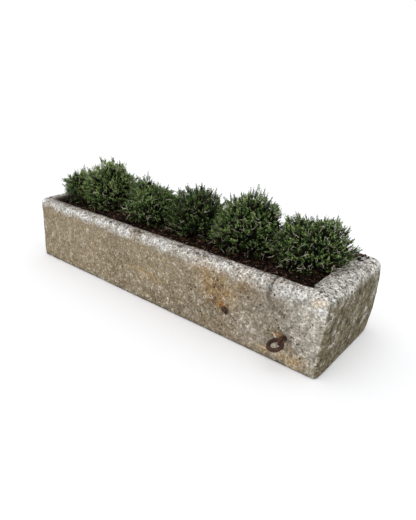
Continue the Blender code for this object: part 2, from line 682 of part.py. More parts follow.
def inside_hollow(point):
    """Whether a point seen from above lies over the mulch, clear of the walls."""
    left = hollow_inset(LEFT, HEIGHT) - FRONT_LENGTH / 2 - LEFT_SKEW_LENGTH * (point.y + DEPTH / 2) / DEPTH
    right = FRONT_LENGTH / 2 - hollow_inset(RIGHT, HEIGHT)
    front = hollow_inset(FRONT, HEIGHT) - DEPTH / 2
    back = DEPTH / 2 - hollow_inset(BACK, HEIGHT)
    room = HOLLOW_CORNER_RADIUS
    return left + room < point.x < right - room and front + room < point.y < back - room


def crown_may_reach(point, low_x, high_x):
    """Whether leaves may fill a point: clear of the neighbours, the mulch and the rim."""
    under = mulch_height(point) if inside_hollow(point) else HEIGHT
    return low_x < point.x < high_x and point.z > under + CROWN_CLEARANCE


def lobe_reach(lobes, direction):
    """Distance from the crown's centre to the outermost lobe along a direction."""
    far = 0.0
    for centre, radius in lobes:
        along = direction.dot(centre)
        room = radius ** 2 - centre.length_squared + along ** 2
        if room > 0:
            far = max(far, along + math.sqrt(room))
    return far


def spread_directions(count):
    """Directions spread evenly all round, turned by the golden angle from each to the next."""
    golden = math.pi * (3 - math.sqrt(5))
    for i in range(count):
        rise = 1 - (2 * i + 1) / count
        flat = math.sqrt(1 - rise ** 2)
        yield Vector((math.cos(golden * i) * flat, math.sin(golden * i) * flat, rise))


def crown(name, index):
    """A crown of leaves: rounded lobes set with pointed tufts, cut where the limbs run up into it."""
    shrub = SHRUB_SHARES[index]
    centre = crown_centre(shrub)
    size = crown_size(shrub)
    lobes = [(Vector(lobe[:3]), lobe[3]) for lobe in LOBE_SHARES[index]]
    edges = [-math.inf, math.inf]
    for other, end in ((index - 1, 0), (index + 1, 1)):
        if 0 <= other < len(SHRUB_SHARES):
            between = (centre.x + crown_centre(SHRUB_SHARES[other]).x) / 2
            edges[end] = between + CROWN_NEIGHBOUR_GAP / 2 * (1 - 2 * end)

    def skin(direction, rise):
        """A point of the skin, straight out from the centre, as far as the leaves may reach."""
        unit = lobe_reach(lobes, direction)
        point = centre + Vector([direction[i] * unit * size[i] for i in range(3)])
        point += (point - centre).normalized() * rise
        reach = 0
        for k in range(1, CROWN_TRIES + 1):
            if not crown_may_reach(centre.lerp(point, k / CROWN_TRIES), *edges):
                break
            reach = k / CROWN_TRIES
        return centre.lerp(point, reach)

    girth = (size.x + size.y + size.z) / 3
    count = round(4 * math.pi * (girth / TUFT_PITCH) ** 2)
    ball = bmesh.new()
    for direction in spread_directions(count):
        ball.verts.new(direction)
    bmesh.ops.convex_hull(ball, input=ball.verts)
    bm = bmesh.new()
    tips, hollows = {}, {}
    for number, spot in enumerate(ball.verts):
        lively = abs(noise.noise(spot.co * count)) * 2
        rise = TUFT_RISE * lively + (SPRAY_RISE if number % SPRAY_EVERY == 0 and spot.co.z > 0 else 0)
        tips[spot] = bm.verts.new(skin(spot.co, rise))
    for face in ball.faces:
        hollows[face] = bm.verts.new(skin(face.calc_center_median().normalized(), -TUFT_FALL))
    for edge in ball.edges:
        for tip in edge.verts:
            bm.faces.new((tips[tip], *(hollows[face] for face in edge.link_faces)))
    ball.free()
    leaves = made(name, bm, LEAVES)
    return combine(leaves, branching("cutter", shrub, SEAT_GAP, LEAVES), "DIFFERENCE")


trough_body()
ring_eye()
lead_plug("eye_lead", EYE_X, EYE_HEIGHT, SHANK_RADIUS, SHANK_DEPTH)
tether_ring()
broken_stub()
lead_plug("stub_lead", STUB_X, STUB_HEIGHT, STUB_RADIUS, STUB_RECESS + STUB_LENGTH)
for number, drain_place in enumerate(drain_places(), 1):
    potsherd(f"drain_crock_{number}", drain_place)
drainage_gravel()
layer("filter_fleece", GRAVEL_TOP + SEAT_GAP, FLEECE_TOP, FLEECE)
compost()
bark_mulch()
for number, plant in enumerate(SHRUB_SHARES, 1):
    root_ball(f"root_ball_{number}", plant)
    branching(f"shrub_stems_{number}", plant, 0, BARK)
    crown(f"shrub_crown_{number}", number - 1)
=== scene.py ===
"""An old limestone trough with an iron tether ring, planted with six small evergreen shrubs.

Lengths are in metres, in the frame of the CAD model: X along the trough, -Y its front, +Z up.
"""
import json
import math
import random

import bpy
import numpy as np
from mathutils import Matrix, Vector, noise
from mathutils.bvhtree import BVHTree


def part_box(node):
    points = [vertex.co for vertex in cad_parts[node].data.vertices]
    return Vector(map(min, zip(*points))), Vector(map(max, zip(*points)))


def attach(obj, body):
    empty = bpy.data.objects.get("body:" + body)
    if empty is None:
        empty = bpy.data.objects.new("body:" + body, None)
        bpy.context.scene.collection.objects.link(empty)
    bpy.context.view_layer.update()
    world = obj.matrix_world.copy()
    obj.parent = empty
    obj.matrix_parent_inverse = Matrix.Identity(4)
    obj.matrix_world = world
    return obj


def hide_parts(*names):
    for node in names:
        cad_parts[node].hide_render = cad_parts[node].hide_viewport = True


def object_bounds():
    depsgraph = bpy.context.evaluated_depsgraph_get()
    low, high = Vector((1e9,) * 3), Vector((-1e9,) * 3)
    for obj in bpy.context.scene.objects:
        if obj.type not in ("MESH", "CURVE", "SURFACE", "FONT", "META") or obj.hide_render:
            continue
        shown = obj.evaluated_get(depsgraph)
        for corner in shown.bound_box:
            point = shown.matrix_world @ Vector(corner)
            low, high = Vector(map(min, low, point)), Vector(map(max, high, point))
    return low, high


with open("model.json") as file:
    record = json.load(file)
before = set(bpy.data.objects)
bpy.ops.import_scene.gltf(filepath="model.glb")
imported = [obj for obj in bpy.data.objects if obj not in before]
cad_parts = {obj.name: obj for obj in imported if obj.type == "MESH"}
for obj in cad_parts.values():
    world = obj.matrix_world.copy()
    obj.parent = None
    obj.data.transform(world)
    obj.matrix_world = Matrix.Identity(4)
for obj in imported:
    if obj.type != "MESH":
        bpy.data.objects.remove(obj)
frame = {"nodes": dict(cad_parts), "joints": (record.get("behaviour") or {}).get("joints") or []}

cad_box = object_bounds()
scene = bpy.context.scene
scene.view_settings.view_transform = "Standard"


def placed(name, data):
    """A new object of the scene."""
    thing = bpy.data.objects.new(name, data)
    scene.collection.objects.link(thing)
    return thing


# The photographer's place: standing off the right end of the front, looking down along the trough.
# The photograph is taller than it is wide, so the lens is measured on its height.
PHOTO_HEIGHT = 520
FOCAL_PIXELS = 443.4
SENSOR = 36.0
CAMERA_PLACE = Vector((1.7113, -1.9873, 1.2800))
CAMERA_TURN, CAMERA_TILT, CAMERA_ROLL = math.radians(-37.97), math.radians(-22.76), math.radians(2.91)

ahead = Vector((math.sin(CAMERA_TURN) * math.cos(CAMERA_TILT),
                math.cos(CAMERA_TURN) * math.cos(CAMERA_TILT), math.sin(CAMERA_TILT)))
level_right = Vector((math.cos(CAMERA_TURN), -math.sin(CAMERA_TURN), 0))
level_up = level_right.cross(ahead)
picture_right = level_right * math.cos(CAMERA_ROLL) + level_up * math.sin(CAMERA_ROLL)
picture_up = level_up * math.cos(CAMERA_ROLL) - level_right * math.sin(CAMERA_ROLL)
camera = placed("camera", bpy.data.cameras.new("camera"))
camera.data.sensor_fit = "VERTICAL"
camera.data.sensor_height = SENSOR
camera.data.lens = SENSOR * FOCAL_PIXELS / PHOTO_HEIGHT
picture_axes = Matrix((picture_right, picture_up, -ahead)).transposed().to_4x4()
camera.matrix_world = Matrix.Translation(CAMERA_PLACE) @ picture_axes
scene.camera = camera


# The stone block: one piece of shelly limestone, hewn square with a point and hollowed by hand, then worn
# round along its rim by a century of animals. Its surface is pitted, pale where rain washes the rim,
# and stained brown by rust below the irons and by soil at its foot, where painted shade darkens it too, as
# it does the right end.
STONE_GRID = 0.0065
STONE_SMOOTHINGS = 5
WAVE_PITCH, WAVE_DEPTH = 0.085, 0.0022
DRESSING_PITCH, DRESSING_DEPTH = 0.026, 0.0013
RIM_ROUGH_PITCH, RIM_ROUGH_DEPTH, RIM_SUNK = 0.019, 0.0022, 0.35
RIM_FOOT, RIM_TOP = 0.335, 0.405
PIT_PITCH, PIT_DEPTH, PIT_LEVEL, PIT_SHARE = 0.012, 0.009, 0.32, 0.35

# Where the stone meets the ground, what fills it and its irons, it keeps its CAD surface.
TOUCHING, KEEP_CLEAR, IRONS_CLEAR = 0.003, 0.012, 0.02
GROUND, ABOVE_GROUND = 0.002, 0.02
COMPOST_TOP, IRONS_FACE, IRONS_TOP = 0.36, 0.3, 0.18
SOILED_REACH = (0.012, 0.085)
WASHED_END, WASHED_SHARE = (0.90, 1.0), 0.55

# The groove that a rope or a chain wore over the rim and down towards the ring.
GROOVE = [Vector(point) for point in (
    (0.812, -0.290, 0.430), (0.808, -0.330, 0.405), (0.800, -0.337, 0.375),
    (0.790, -0.339, 0.335), (0.826, -0.340, 0.288), (0.885, -0.341, 0.262))]
GROOVE_WIDTH, GROOVE_DEPTH, GROOVE_DIRT = 0.010, 0.0050, (0.2, 1.9)
GROOVE_START = 0.7

# The block's sizes in the CAD model, and what its right end has that the model lacks: tighter corners and
# a thicker wall, with the spans over which they come in.
BLOCK_HEIGHT, FRONT_LEAN, FACE_LEAN, RIM_ROUNDING = 0.425, 0.011, 0.021, 0.05
CORNER_FOOT_RADIUS, CORNER_RIM_RADIUS, CORNER_TIGHT_RADIUS = 0.055, 0.032, 0.027
HOLLOW_CORNER, HOLLOW_RADIUS, HOLLOW_TIGHT_RADIUS = (0.9705, -0.2335), 0.040, 0.008
HOLLOW_EDGE, HOLLOW_CORNER_SPAN = (0.355, 0.378), (1.2 * HOLLOW_RADIUS, 2.2 * HOLLOW_RADIUS)
END_EXTRA, END_EXTRA_BACK = 0.022, 0.014
END_EXTRA_TURN, END_EXTRA_SIDES = (0.05, 0.25), (0.29, 0.33)
END_EXTRA_START, END_EXTRA_STOP = (0.85, 0.97), (1.02, 1.075)


class Wire:
    """The output of a shader node, so that shader maths reads as sums."""

    def __init__(self, tree, link):
        self.tree = tree
        self.link = link

    def maths(self, operation, first, second):
        """One operation on two values, of which at least one is a wire."""
        return new_node(self.tree, "ShaderNodeMath", {"operation": operation}, {0: first, 1: second})

    def __add__(self, other):
        return self.maths("ADD", self, other)

    __radd__ = __add__

    def __sub__(self, other):
        return self.maths("SUBTRACT", self, other)

    def __rsub__(self, other):
        return self.maths("SUBTRACT", other, self)

    def __mul__(self, other):
        return self.maths("MULTIPLY", self, other)

    def __rpow__(self, other):
        return self.maths("POWER", other, self)

    def larger(self, *others):
        """The largest of this value and others."""
        largest = self
        for other in others:
            largest = self.maths("MAXIMUM", largest, other)
        return largest

    def rise(self, low, high):
        """0 below low and 1 above high, or the other way round where low is the greater."""
        if low > high:
            return 1 - self.rise(high, low)
        return new_node(self.tree, "ShaderNodeMapRange", {"interpolation_type": "SMOOTHSTEP"}, {
            "Value": self, "From Min": low, "From Max": high}, "Result")


def join(tree, place, value):
    """Links a wire to a socket, or writes a plain value on it."""
    if isinstance(value, Wire):
        tree.links.new(value.link, place)
    elif place.type == "RGBA" and len(value) == 3:
        place.default_value = (*value, 1)
    else:
        place.default_value = value


def new_node(tree, kind, settings=(), inputs=(), output=0):
    """A shader node of a type, with its settings and the values or links of its sockets."""
    made = tree.nodes.new(kind)
    for name, value in dict(settings).items():
        setattr(made, name, value)
    for name, value in dict(inputs).items():
        join(tree, made.inputs[name], value)
    return Wire(tree, made.outputs[output])


class Finish:
    """A material made of nodes round one Principled shader."""

    def __init__(self, name):
        self.material = bpy.data.materials.new(name)
        self.material.use_nodes = True
        self.tree = self.material.node_tree
        self.shader = self.tree.nodes["Principled BSDF"]
        self.place = self.node("ShaderNodeTexCoord", output="Object")

    def node(self, kind, settings=(), inputs=(), output=0):
        """Any other node."""
        return new_node(self.tree, kind, settings, inputs, output)

    def moved(self, stretch=(1, 1, 1), turn=(0, 0, 0), shift=(0, 0, 0), of=None):
        """Coordinates in which a pattern is shifted, turned and drawn out along its own axes."""
        return self.node("ShaderNodeMapping", {"vector_type": "TEXTURE"}, {
            "Vector": of or self.place, "Location": shift, "Rotation": turn, "Scale": stretch})

    def cloud(self, size, detail=3.0, roughness=0.55, place=None, stir=0.0):
        """Soft noise whose lumps are about a size across, from 0 to 1."""
        return self.node("ShaderNodeTexNoise", inputs={
            "Vector": place or self.place, "Scale": 0.5 / size, "Detail": detail, "Roughness": roughness,
            "Distortion": stir}, output="Fac")

    def stirred(self, scale, detail, roughness, reach):
        """Coordinates pushed about at random, by half a reach on average, to tear a pattern's edges."""
        push = self.node("ShaderNodeTexNoise", inputs={
            "Vector": self.place, "Scale": scale, "Detail": detail, "Roughness": roughness}, output="Color")
        return self.node("ShaderNodeVectorMath", {"operation": "MULTIPLY_ADD"}, {
            0: push, 1: (reach, reach, reach), 2: self.place})

    def cells(self, size, place=None, output="Distance"):
        """Cells about a size across: the distance from their middles, from 0, or their colour."""
        return self.node("ShaderNodeTexVoronoi", inputs={
            "Vector": place or self.place, "Scale": 1 / size}, output=output)

    def mix(self, factor, first, second, blend="MIX"):
        """Two colours mixed by a factor."""
        return self.node("ShaderNodeMix", {"data_type": "RGBA", "blend_type": blend}, {
            0: factor, 6: first, 7: second}, 2)

    def along(self, axis, of=None):
        """How far the surface, or another vector, reaches along an axis."""
        return self.node("ShaderNodeSeparateXYZ", inputs={"Vector": of or self.place}, output=axis)

    def painted(self, name):
        """A value that the mesh carries at its points or faces."""
        return self.node("ShaderNodeAttribute", {"attribute_name": name}, output="Fac")

    def dimmed(self, colour, value):
        """A colour multiplied by a value."""
        grey = self.node("ShaderNodeCombineColor", inputs={"Red": value, "Green": value, "Blue": value})
        return self.mix(1.0, colour, grey, "MULTIPLY")

    def bumps(self, *layers):
        """The shader's normal, raised by layers of (height, metres)."""
        last = {}
        for height, depth in layers:
            bump = self.node("ShaderNodeBump", inputs={"Height": height, "Distance": depth, **last})
            last = {"Normal": bump}
        self.use(**last)

    def use(self, **sockets):
        """Sets the shader's sockets, named with _ for a space."""
        for name, value in sockets.items():
            join(self.tree, self.shader.inputs[name.replace("_", " ")], value)
        return self.material


def corners(node):
    """The lowest and the highest corner of a CAD node's box."""
    return [Vector(corner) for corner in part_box(node)]


def mesh_tree(piece):
    """A tree of a piece's faces, for finding the nearest one or casting rays at it."""
    mesh = piece.data
    return BVHTree.FromPolygons([v.co for v in mesh.vertices], [tuple(p.vertices) for p in mesh.polygons])


def added(name, mesh, material, body):
    """A new piece of the scene that rides a body, with its finish."""
    piece = placed(name, mesh)
    mesh.materials.clear()
    mesh.materials.append(material)
    mesh.shade_smooth()
    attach(piece, body)
    return piece


def remeshed(node, grid, smoothings):
    """A copy of a CAD node's mesh as an even net of small faces, with its facets smoothed away."""
    piece = placed("copy", frame["nodes"][node].data.copy())
    remesh = piece.modifiers.new("net", "REMESH")
    remesh.mode = "VOXEL"
    remesh.voxel_size = grid
    smooth = piece.modifiers.new("smooth", "SMOOTH")
    smooth.factor = 0.5
    smooth.iterations = smoothings
    bpy.context.view_layer.update()
    mesh = bpy.data.meshes.new_from_object(piece.evaluated_get(bpy.context.evaluated_depsgraph_get()))
    bpy.data.objects.remove(piece)
    return mesh


def step_up(value, low, high):
    """0 below low, 1 above high and smooth between."""
    share = min(max((value - low) / (high - low), 0), 1)
    return share * share * (3 - 2 * share)


def tightened(point, middle, old, new, share):
    """A point by a round corner that looks to +X and -Y, moved out by a share towards a tighter round."""
    spoke = Vector((point.x - middle[0], point.y - middle[1], 0))
    if spoke.x <= 0 or spoke.y >= 0:
        return point
    way = spoke.normalized()
    reach = old / max(way.x, -way.y)
    shift = old - new
    along = shift * (way.x - way.y)
    room = new ** 2 - 2 * shift ** 2 + along ** 2
    if room > 0 and min(way.x, -way.y) * reach > shift:
        reach = along + math.sqrt(room)
    return point + way * (reach - old) * share


def sharpened(point, low, high):
    """A point of the right end, moved out to the tighter corners that it has outside and inside."""
    rise = point.z / BLOCK_HEIGHT
    old = CORNER_FOOT_RADIUS + (CORNER_RIM_RADIUS - CORNER_FOOT_RADIUS) * rise
    middle = (high.x - FACE_LEAN * (1 - rise) - old, low.y + FRONT_LEAN * rise + old)
    if point.z < BLOCK_HEIGHT - RIM_ROUNDING:
        share = 1 - step_up(point.z, BLOCK_HEIGHT - 2 * RIM_ROUNDING, BLOCK_HEIGHT - RIM_ROUNDING)
        point = tightened(point, middle, old, CORNER_TIGHT_RADIUS, share)
    away = math.hypot(point.x - HOLLOW_CORNER[0], point.y - HOLLOW_CORNER[1])
    share = step_up(point.z, *HOLLOW_EDGE) * (1 - step_up(away, *HOLLOW_CORNER_SPAN))
    return tightened(point, HOLLOW_CORNER, HOLLOW_RADIUS, HOLLOW_TIGHT_RADIUS, share)


def thickened(point):
    """A point of the right end's inner wall, moved in to where the photograph shows the hollow's edge."""
    shift = END_EXTRA + (END_EXTRA_BACK - END_EXTRA) * step_up(point.y, *END_EXTRA_TURN)
    shift *= step_up(point.x, *END_EXTRA_START) * (1 - step_up(point.x, *END_EXTRA_STOP))
    shift *= step_up(point.z, *HOLLOW_EDGE) * (1 - step_up(abs(point.y), *END_EXTRA_SIDES))
    return point - Vector((shift, 0, 0))


def groove_gap(point):
    """How far a point lies from the line of the worn groove."""
    gaps = []
    for start, end in zip(GROOVE, GROOVE[1:]):
        way = end - start
        share = min(max((point - start).dot(way) / way.length_squared, 0), 1)
        gaps.append((point - (start + way * share)).length)
    return min(gaps)


def nearest(trees, point):
    """How far a point lies from the nearest face of several trees."""
    return min(tree.find_nearest(point)[3] for tree in trees)


def stone_mesh():
    """The block's skin with the waves, dressing marks, pits and chips that its CAD solid leaves out."""
    mesh = remeshed("trough_body", STONE_GRID, STONE_SMOOTHINGS)
    fill = [mesh_tree(frame["nodes"][name]) for name in ("bark_mulch", "compost", "drainage_gravel")]
    irons = [mesh_tree(frame["nodes"][name]) for name in ("eye_lead", "stub_lead")]
    soiled, grooved = np.zeros(len(mesh.vertices)), np.zeros(len(mesh.vertices))
    normals = [v.normal.copy() for v in mesh.vertices]
    low, high = corners("trough_body")
    for vertex, normal in zip(mesh.vertices, normals):
        point = sharpened(vertex.co, low, high)
        vertex.co = thickened(point)
        gap = nearest(fill[:1] if point.z > COMPOST_TOP else fill, point)
        washed = WASHED_SHARE * step_up(point.x, *WASHED_END)
        soiled[vertex.index] = (1 - step_up(gap, *SOILED_REACH)) * (1 - washed)
        if gap < TOUCHING or point.z < GROUND:
            continue
        free = step_up(gap, TOUCHING, KEEP_CLEAR) * step_up(point.z, GROUND, ABOVE_GROUND)
        if abs(point.y) > IRONS_FACE and point.z < IRONS_TOP:
            free *= step_up(nearest(irons, point), TOUCHING, IRONS_CLEAR)
        near_rim = step_up(point.z, RIM_FOOT, RIM_TOP)
        lift = WAVE_DEPTH * noise.noise(point / WAVE_PITCH)
        lift += DRESSING_DEPTH * noise.noise(point / DRESSING_PITCH + Vector((7, 3, 1)))
        rough = noise.noise(point / RIM_ROUGH_PITCH) + 0.6 * noise.noise(point / RIM_ROUGH_PITCH * 2.1)
        lift += RIM_ROUGH_DEPTH * near_rim * (rough - RIM_SUNK)
        pit = max(0, noise.noise(point / PIT_PITCH + Vector((3, 9, 4))) - PIT_LEVEL)
        lift -= PIT_DEPTH * pit * (PIT_SHARE + near_rim)
        if point.x > GROOVE_START and point.y < 0:
            away = groove_gap(point)
            grooved[vertex.index] = 1 - step_up(away / GROOVE_WIDTH, *GROOVE_DIRT)
            lift -= GROOVE_DEPTH * (1 - step_up(away, 0, GROOVE_WIDTH))
        vertex.co = thickened(point) + normal * lift * free
    for name, values in (("soiled", soiled), ("grooved", grooved)):
        mesh.attributes.new(name, "FLOAT", "POINT").data.foreach_set("value", values)
    return mesh


WARM_STONE, GREY_STONE = (0.345, 0.275, 0.177), (0.405, 0.358, 0.286)
PALE_STONE, CHALK, DARK_STONE = (0.750, 0.735, 0.710), (0.860, 0.840, 0.790), (0.040, 0.033, 0.024)
OLIVE_SHADED_STONE, MOSSY_STONE, RUBBED_AND_LIT_STONE = (0.165, 0.140, 0.078), (0.045, 0.038, 0.018), (0.620, 0.580, 0.490)
GRIME, SPECKS, GROOVE_GRIME = (0.130, 0.104, 0.076), (0.085, 0.062, 0.044), (0.085, 0.062, 0.042)
SOIL_STAIN, SOIL_DUST, FOOT_SHADE_AND_SPLASH = (0.042, 0.030, 0.021), (0.165, 0.130, 0.095), (0.170, 0.130, 0.080)
OCHRE_STAIN, UMBER_STAIN_AND_SHADOW = (0.470, 0.315, 0.140), (0.165, 0.098, 0.045)
RUST_STAIN, CREAM_STAIN = (0.450, 0.210, 0.065), (0.66, 0.52, 0.36)
STAIN_STIR = 0.11


def stone_finish():
    """Shelly limestone: pale grains and dark pits, weather, algae, soil splash and rust."""
    stone = Finish("limestone")
    x, y, z = (stone.along(axis) for axis in "XYZ")
    facing = stone.node("ShaderNodeNewGeometry", output="Normal")
    face_x, face_z = stone.along("X", facing), stone.along("Z", facing)
    patches = stone.cloud(0.09, 4, 0.6)
    blotches = stone.cloud(0.035, 4, 0.7)
    drifts = stone.cloud(0.30, 3, 0.5, stir=0.6)
    speckle = stone.cloud(0.014, 5, 0.9)
    grain = stone.cloud(0.0060, 2, 0.7)
    other_grain = stone.cloud(0.0060, 2, 0.7, stone.moved(shift=(2.3, 7.1, 4.9)))
    scrapes = stone.cloud(0.010, 5, 0.85, stone.moved((1, 1, 1.9), (-0.65, 0, 0)))
    smudges = stone.cloud(0.024, 5, 0.75, stone.moved(shift=(5.2, 1.1, 8.3)))
    torn = stone.stirred(9.0, 6.0, 0.7, STAIN_STIR)
    ragged = stone.stirred(120.0, 2.0, 0.5, 0.010)

    # Warm to grey stone along its length, then the corner, pale with rubbing and painted highlight, and the
    # right end, olive, mossy and darker with painted shade.
    base = stone.mix((patches * 1.6 - 0.3 + (0.45 - x * 0.48)).rise(0.25, 0.95), GREY_STONE, WARM_STONE)
    base = stone.mix((drifts - 0.40).larger(0) * 0.9, base, DARK_STONE)
    # The right end face: olive with algae and mossy spots, and darker with painted shade.
    end = face_x.rise(0.22, 0.62) * x.rise(0.9, 1.0)
    shaded_worn_end = stone.mix((smudges * 0.6 + patches * 0.4).rise(0.52, 0.62) * 0.45, OLIVE_SHADED_STONE, PALE_STONE)
    shaded_worn_end = stone.mix((smudges * 0.7 + speckle * 0.3).rise(0.49, 0.41) * 0.8, shaded_worn_end, MOSSY_STONE)
    base = stone.mix(end * 0.94, base, shaded_worn_end)
    # Pale patches down the front of the right corner, stronger higher up: rubbed wear and painted
    # highlight.
    corner = x.rise(0.80, 1.02) * (1 - end) * (smudges * 0.7 + speckle * 0.3).rise(0.27, 0.63)
    base = stone.mix(corner * (0.60 + z.rise(0.1, 0.4) * 0.30), base, RUBBED_AND_LIT_STONE)

    # The rim, washed pale, with grime on it, and the foot: a brown band of painted shade and soil splash,
    # then a thin painted contact shadow.
    rim_line = z + (patches - 0.5) * 0.07 + (blotches - 0.5) * 0.04
    rim_line = rim_line + x * 0.014 + x.rise(0.93, 1.09) * 0.03 - end * 0.075
    rim = rim_line.rise(0.335, 0.395)
    mottle = (blotches * 0.35 + smudges * 0.25 + speckle * 0.4).rise(0.42, 0.54)
    base = stone.mix(rim * (0.20 + mottle * 0.80), base, PALE_STONE)
    grimy = (smudges * 0.5 + speckle * 0.5 - rim_line.rise(0.43, 0.36) * 0.04).rise(0.52, 0.58)
    base = stone.mix(grimy * rim * 0.60, base, GRIME)
    inward = face_z.rise(0.45, 0.95)
    specks = (scrapes * 0.5 + other_grain * 0.5 + (smudges - 0.5) * 0.5).rise(0.48, 0.42) * inward
    grime_share = 0.12 + x.rise(0.95, 1.0) * 0.10 + x.rise(0.65, 0.30) * 0.30
    base = stone.mix(inward * rim * grime_share, base, GRIME)
    base = stone.mix(specks * rim * 0.85, base, SPECKS)
    # The foot's brown band over its lowest 5 cm: painted shade with soil splash.
    foot = (z + (patches - 0.5) * 0.05).rise(0.050, 0.0)
    base = stone.mix(foot * 0.55, base, FOOT_SHADE_AND_SPLASH)
    # Painted contact shadow along the bottom centimetre or two.
    base = stone.mix((z + (smudges - 0.5) * 0.01).rise(0.016, 0.002) * 0.75, base, DARK_STONE)

    def blot(along, up, wide, high, turn=0.0, soft=1.0):
        """A torn stain about a point of the front: 1 in its middle, 0 well outside its sizes."""
        middle = (along + STAIN_STIR / 2, 0, up + STAIN_STIR / 2)
        spot = stone.moved((wide, 9, high), (0, turn, 0), middle, torn)
        reach = stone.node("ShaderNodeVectorMath", {"operation": "LENGTH"}, {0: spot}, "Value")
        return reach.rise(1 + soft, 1 - soft * 0.8) * y.rise(-0.25, -0.30)

    # Stains that the irons and the wet left on the front, and the dirty groove, with painted shade: the
    # ring's shadow and the dark round the broken stump.
    stain = blotches.rise(0.36, 0.60)
    ochre = (blot(0.50, 0.265, 0.105, 0.085, 0.5, 0.7) * (0.45 + stain * 0.55)).larger(
        blot(0.43, 0.355, 0.14, 0.035, 0.1, 0.9) * stain * 0.75,
        blot(0.62, 0.345, 0.10, 0.05, 0, 0.9) * stain * 0.6,
        blot(-0.06, 0.180, 0.14, 0.014, 0, 0.9) * 0.5,
        blot(0.955, 0.050, 0.08, 0.035, 0, 0.9) * 0.75,
        blot(0.82, 0.045, 0.05, 0.02) * 0.6)
    base = stone.mix(ochre * 0.88, base, OCHRE_STAIN)
    umber_and_shadow = (blot(0.490, 0.240, 0.055, 0.060, 0.3, 0.8) * (1.30 - stain)).larger(
        blot(0.545, 0.178, 0.024, 0.020, 0.5, 0.8),
        blot(0.655, 0.322, 0.024, 0.020, 0.4, 0.8) * 0.7,
        blot(0.593, 0.142, 0.050, 0.006, 0.3, 0.8),
        blot(0.880, 0.265, 0.035, 0.006, 0.25, 0.8) * 0.8,
        # The ring's painted shadow on the stone, with rust in it.
        blot(0.935, 0.112, 0.034, 0.024, 0.4, 0.9) * 0.5)
    base = stone.mix(umber_and_shadow * 0.85, base, UMBER_STAIN_AND_SHADOW)
    rust = blot(0.530, 0.172, 0.026, 0.012, 0.5, 0.8).larger(
        blot(0.886, 0.151, 0.024, 0.011, 0, 0.8))
    base = stone.mix(rust * (0.6 + speckle * 0.6), base, RUST_STAIN)
    grooved = stone.painted("grooved") * (blotches * 0.6 + speckle * 0.4).rise(0.34, 0.54)
    base = stone.mix(grooved * (0.70 + z.rise(0.34, 0.40) * 0.25), base, GROOVE_GRIME)
    # Painted shade: the dark round the broken stump, where it sits in its recess.
    pocket_shade = blot(0.549, 0.152, 0.019, 0.015, 0.2, 0.5)
    base = stone.mix(pocket_shade * 0.95, base, DARK_STONE)
    cream = blot(1.045, 0.385, 0.026, 0.020, 0, 0.8)
    base = stone.mix(cream * 0.7, base, CREAM_STAIN)

    # Grain, pits and holes over everything, the holes dark with painted shade, and soil where the mulch has
    # lain.
    chalky = (grain * 0.5 + speckle * 0.5 + (smudges - 0.5) * 0.5 + rim * 0.03).rise(0.52, 0.68)
    base = stone.mix(chalky * (0.58 - end * 0.25), base, CHALK)
    tone = (other_grain - 0.5) * 5.4 + (speckle - 0.5) * 4.0 + (smudges - 0.5) * 2.8
    tone = tone * (1 + rim * 0.3) + (scrapes - 0.5) * (1.4 + end * 3.0)
    base = stone.dimmed(base, 1.6 ** tone)
    pitted = (patches * 0.6 + drifts * 0.4).rise(0.46, 0.62).larger(rim * 0.7, end * 0.6)
    hole = stone.cells(0.021, ragged) + (1 - stone.cells(0.021, ragged, "Color")) * 0.45
    hole = hole.rise(0.34, 0.26) * pitted.rise(0.1, 0.5)
    pricks = stone.moved(shift=(3.1, 1.7, 0.4), of=ragged)
    small = stone.cells(0.0105, pricks) + (1 - stone.cells(0.0105, pricks, "Color")) * 0.6
    hole = hole.larger(small.rise(0.45, 0.34) * (0.35 + pitted * 0.65))
    # Painted shade in the holes.
    base = stone.mix(hole * 0.95, base, DARK_STONE)
    soil = stone.painted("soiled") + (speckle - 0.5) * 3.0 + (smudges - 0.5) * 1.4
    dusty = stone.mix(speckle.rise(0.4, 0.6), SOIL_STAIN, SOIL_DUST)
    base = stone.mix(soil.rise(0.34, 0.62) * 0.80, base, dusty)
    base = stone.mix(soil.rise(0.60, 0.95) * 0.9, base, SOIL_STAIN)

    stone.bumps((speckle, 0.006), (other_grain, 0.004), (1 - hole, 0.004), (scrapes, 0.004))
    return stone.use(Base_Color=base, Roughness=0.93, Specular_IOR_Level=0.2)


stone_block = added("stone_block", stone_mesh(), stone_finish(), "trough")
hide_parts("trough_body")


# The irons: an eye forged from round bar, a heavier ring that hangs in it, and the stump of a second eye.
# All are wrought iron under a century of rust, dark purple-brown with orange dust where water stands.
RING_RADIUS, RING_BAR, RING_WORN = 0.0325, 0.0105, 0.12
EYE_HOLE, EYE_BAR = 0.0139, 0.0055
SHANK_RADIUS, SHANK_NECK, SHANK_STEPS = 0.0065, 0.86, 12
RING_TURNS, BAR_TURNS = 112, 32
HAMMER_PITCH, HAMMER_DEPTH = 0.011, 0.0005
SCALE_PITCH, SCALE_DEPTH = 0.0032, 0.00025
SHANK_LUMP_PITCH, SHANK_LUMP_DEPTH = 0.006, 0.0006
BAR_SUNK, SHANK_SUNK = 0.0003, 0.0004
RUST_DARK, RUST_BROWN, RUST_ORANGE = (0.034, 0.015, 0.011), (0.085, 0.036, 0.022), (0.26, 0.095, 0.026)


def iron_finish(name, orange, light=1.0):
    """Rusty wrought iron, with more or less loose orange rust, its colour dimmed by light below 1 as
    painted shade.
    """
    iron = Finish(name)
    flakes = iron.cloud(0.0035, 4, 0.65)
    patches = iron.cloud(0.012, 3, 0.6)
    browned = (patches * 0.6 + flakes * 0.4).rise(0.40 - orange, 0.60 - orange)
    dusted = (flakes * 0.55 + patches * 0.45).rise(0.62 - orange, 0.74 - orange)
    base = iron.mix(dusted, iron.mix(browned, RUST_DARK, RUST_BROWN), RUST_ORANGE)
    base = iron.dimmed(base, light)
    iron.bumps((flakes, 0.0012), (patches, 0.0014))
    return iron.use(Base_Color=base, Roughness=0.62 + dusted * 0.25, Metallic=0.15, Specular_IOR_Level=0.3)


